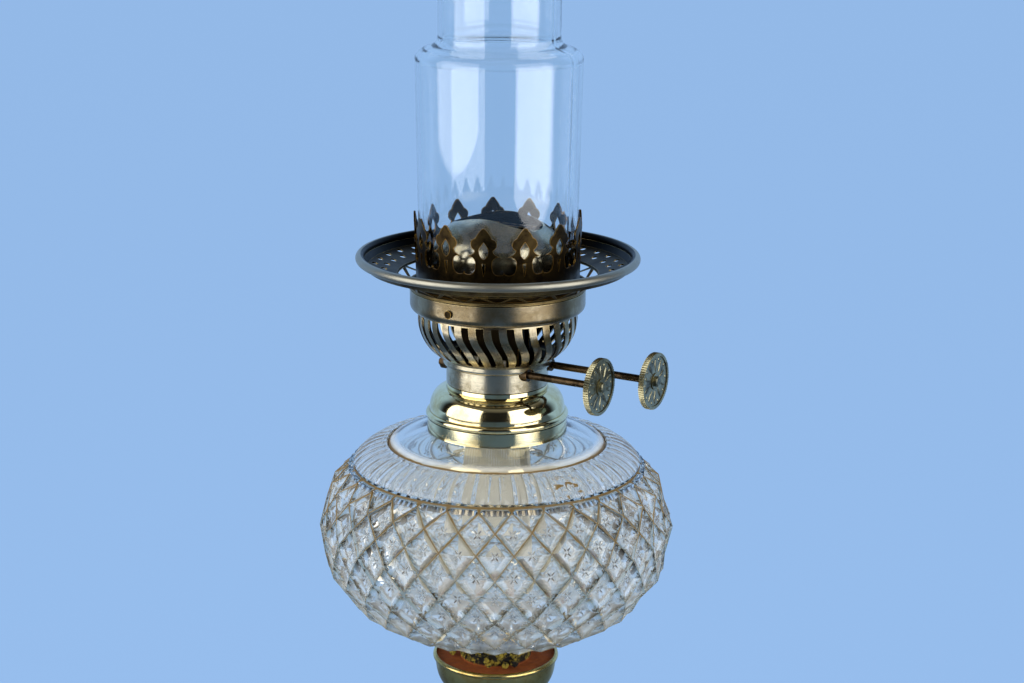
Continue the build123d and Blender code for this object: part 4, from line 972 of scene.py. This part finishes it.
print("film from", FILM_FOOT, "on the floor to", FILM_TOP, "under the shoulder")

# %% Join the font's three parts
font = upper_font
activate(lattice, lower_font, font)
bpy.ops.object.join()
for above in (True, False):
    seams = {key for key in open_edges(font) if (font.data.vertices[key[0]].co.z > BELLY_Z * MM) == above}
    pick(font, lambda edge: edge.key in seams, "EDGE")
    bpy.ops.mesh.bridge_edge_loops()
    bpy.ops.object.mode_set(mode="OBJECT")
edit("FACE", "SELECT")
bpy.ops.mesh.normals_make_consistent(inside=False)
bpy.ops.object.mode_set(mode="OBJECT")
font.data.materials.clear()
font.data.materials.append(cut_glass)
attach(font, "base")
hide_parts("glass_font")
print("font", len(font.data.polygons), "faces, open edges", len(open_edges(font)))

# %% [markdown]
# ## Wicks
# Each wick is an inch-wide cotton tape. It is flat inside its tube and hangs loosely in the oil below it, so a tape is
# drawn as a fine grid, given its thickness, and rippled only in its free length. The burnt end is a little ragged.

# %% Cotton tapes
TAPE_THICKNESS = 2.2 * MM
TAPE_COLUMNS, TAPE_ROWS = 16, 90
BURNT_BACK, FRAYED = 0.6 * MM, 0.5 * MM
FREE_BELOW_TUBE = 6 * MM
RIPPLE_LENGTH, RIPPLE_DEPTH = 26 * MM, 1.2 * MM
SELVEDGE = 0.5 * MM
SOFT_BELOW = math.radians(40)
ripple_pattern = bpy.data.textures.new("loose tape", "CLOUDS")
ripple_pattern.noise_scale = RIPPLE_LENGTH

for label in ("front", "rear"):
    low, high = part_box(f"{label}_wick")
    tube_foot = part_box(f"{label}_wick_tube")[0].z
    middle = (low + high) / 2
    bpy.ops.object.select_all(action="DESELECT")
    bpy.ops.mesh.primitive_grid_add(x_subdivisions=TAPE_COLUMNS, y_subdivisions=TAPE_ROWS, size=1)
    tape = bpy.context.object
    tape.name = f"{label}_cotton_wick"
    bpy.ops.object.mode_set(mode="EDIT")
    bpy.ops.transform.resize(value=(high.x - low.x, high.z - low.z, 1))
    bpy.ops.transform.rotate(value=-math.pi / 2, orient_axis="X", center_override=(0, 0, 0))
    bpy.ops.transform.translate(value=middle)
    bpy.ops.object.mode_set(mode="OBJECT")
    pick(tape, lambda vertex: vertex.co.z > high.z - 0.1 * MM)
    bpy.ops.transform.translate(value=(0, 0, -BURNT_BACK))
    bpy.ops.transform.vertex_random(offset=FRAYED, seed=3)
    bpy.ops.object.mode_set(mode="OBJECT")
    free = tape.vertex_groups.new(name="free")
    free.add([v.index for v in tape.data.vertices if v.co.z < tube_foot - FREE_BELOW_TUBE], 1.0, "REPLACE")
    body = tape.modifiers.new("tape body", "SOLIDIFY")
    body.thickness = TAPE_THICKNESS
    body.offset = 0.0
    slack = tape.modifiers.new("slack", "DISPLACE")
    slack.texture = ripple_pattern
    slack.texture_coords = "LOCAL"
    slack.direction = "Y"
    slack.vertex_group = free.name
    slack.strength = RIPPLE_DEPTH
    edge = tape.modifiers.new("selvedge", "BEVEL")
    edge.width = SELVEDGE
    edge.segments = 2
    for step in (body, slack, edge):
        bpy.ops.object.modifier_apply(modifier=step.name)
    bpy.ops.object.shade_smooth_by_angle(angle=SOFT_BELOW)
    tape.data.materials.append(cotton)
    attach(tape, f"{label}_wick")
    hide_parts(f"{label}_wick")
    print(tape.name, len(tape.data.polygons), "faces")

# %% [markdown]
# ## Felt under the plinth
# A disc of wool felt keeps the plinth from scratching a table. It is cut by hand, so its edge is soft and slightly
# uneven.

# %% Felt disc
FELT_EDGE = 0.5 * MM
CUT_UNEVEN = 0.12 * MM
low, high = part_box("felt_pad")
pad_radius, pad_height = high.x, high.z - low.z
bpy.ops.object.select_all(action="DESELECT")
bpy.ops.mesh.primitive_cylinder_add(vertices=128, radius=pad_radius, depth=pad_height, end_fill_type="NGON")
pad = bpy.context.object
pad.name = "felt_disc"
bpy.ops.object.mode_set(mode="EDIT")
bpy.ops.transform.translate(value=(0, 0, (low.z + high.z) / 2))
bpy.ops.mesh.bevel(offset=FELT_EDGE, segments=3)
bpy.ops.object.mode_set(mode="OBJECT")
pick(pad, lambda vertex: vertex.co.z > low.z + 0.05 * MM)
bpy.ops.transform.vertex_random(offset=CUT_UNEVEN, seed=5)
bpy.ops.object.mode_set(mode="OBJECT")
bpy.ops.object.shade_smooth_by_angle(angle=SOFT_BELOW)
pad.data.materials.append(felt)
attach(pad, "base")
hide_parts("felt_pad")
print("felt disc", len(pad.data.polygons), "faces")

# %% [markdown]
# ## Rosettes on the knobs
# The knob faces are stamped with a raised pattern. A plain rosette of petals and beads stands here: one petal and one
# bead are shaped, then repeated round the knob's axis with the spin tool's duplicate option.

# %% Stamp the rosettes
PETALS = 10
PETAL_MIDDLE = 6.6 * MM
PETAL_HALF_SIZE = (0.45, 1.15, 2.9)
PETAL_WAIST = 0.55
BEAD_MIDDLE = 8.9 * MM
BEAD_RADIUS = 0.75 * MM
SUNK = 0.5 * MM
ALL_ROUND = {
    "steps": PETALS - 1,
    "dupli": True,
    "angle": 2 * math.pi * (1 - 1 / PETALS),
    "center": (0, 0, 0),
    "axis": (1, 0, 0),
}

for label in ("front", "rear"):
    low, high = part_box(f"{label}_knob")
    centre = Vector((high.x - SUNK, (low.y + high.y) / 2, (low.z + high.z) / 2))
    bpy.ops.object.select_all(action="DESELECT")
    bpy.ops.mesh.primitive_uv_sphere_add(segments=12, ring_count=8, radius=MM, calc_uvs=False)
    rosette = bpy.context.object
    rosette.name = f"{label}_rosette"
    bpy.ops.object.mode_set(mode="EDIT")
    bpy.ops.transform.resize(value=PETAL_HALF_SIZE)
    bpy.ops.mesh.bisect(plane_co=(0, 0, 0), plane_no=(1, 0, 0), use_fill=True, clear_inner=True)
    bpy.ops.object.mode_set(mode="OBJECT")
    pick(rosette, lambda vertex: vertex.co.z < -1.0 * MM)
    bpy.ops.transform.resize(value=(1, PETAL_WAIST, 1), center_override=(0, 0, 0))
    bpy.ops.mesh.select_all(action="SELECT")
    bpy.ops.transform.translate(value=(0, 0, PETAL_MIDDLE))
    bpy.ops.mesh.spin(**ALL_ROUND)
    bpy.ops.mesh.select_all(action="DESELECT")
    bpy.ops.mesh.primitive_uv_sphere_add(segments=10, ring_count=6, radius=BEAD_RADIUS, calc_uvs=False)
    bpy.ops.transform.resize(value=(0.5, 1, 1))
    bpy.ops.transform.rotate(value=-math.pi / PETALS, orient_axis="X", center_override=(0, 0, -BEAD_MIDDLE))
    bpy.ops.transform.translate(value=(0, 0, BEAD_MIDDLE))
    bpy.ops.mesh.spin(**ALL_ROUND)
    bpy.ops.mesh.select_all(action="SELECT")
    bpy.ops.mesh.normals_make_consistent(inside=False)
    bpy.ops.transform.translate(value=centre)
    bpy.ops.object.mode_set(mode="OBJECT")
    bpy.ops.object.shade_smooth_by_angle(angle=SOFT_BELOW)
    rosette.data.materials.append(knob_brass)
    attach(rosette, f"{label}_winder")
    print(rosette.name, len(rosette.data.polygons), "faces")

# %% [markdown]
# ## Crumbling plaster
# Under the glass the plaster has broken away in lumps round the font's peg. Each lump is roughed out from a coarse
# ball. The shapes and places are random but seeded, so every run gives the same heap.

# %% Plaster crumbs
CRUMBS = 90
HEAP_R = 15.0
HEAP_SPREAD = (0.2, 3.2)
HEAP_SHARE = 0.86
CRUMB_RADII = (0.9, 1.9)
crumb_places = random.Random(11)
font_foot = BASE_Z * MM
lumps = []
for i in range(CRUMBS):
    turn = crumb_places.uniform(0, 2 * math.pi)
    up = crumb_places.uniform(0.1, 1.0)
    reach_out = HEAP_R + crumb_places.uniform(*HEAP_SPREAD) * (1.15 - up)
    size = crumb_places.uniform(*CRUMB_RADII) * MM
    place = Vector((math.cos(turn) * reach_out * MM, math.sin(turn) * reach_out * MM, 0))
    place.z = BED_TOP + up * (font_foot - BED_TOP) * HEAP_SHARE
    bpy.ops.object.select_all(action="DESELECT")
    bpy.ops.mesh.primitive_ico_sphere_add(subdivisions=2, radius=size, location=place, calc_uvs=False)
    bpy.ops.object.mode_set(mode="EDIT")
    bpy.ops.transform.vertex_random(offset=0.35 * size, seed=i)
    bpy.ops.object.mode_set(mode="OBJECT")
    lumps.append(bpy.context.object)
activate(*lumps[1:], lumps[0])
crumbs = lumps[0]
bpy.ops.object.join()
bpy.ops.object.transform_apply(location=True, rotation=True, scale=True)
crumbs.name = "plaster_crumbs"
crumbs.data.materials.append(plaster)
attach(crumbs, "base")
print(CRUMBS, "crumbs,", len(crumbs.data.polygons), "faces")

# %% Find the bounds of the shown pieces
low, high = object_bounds()
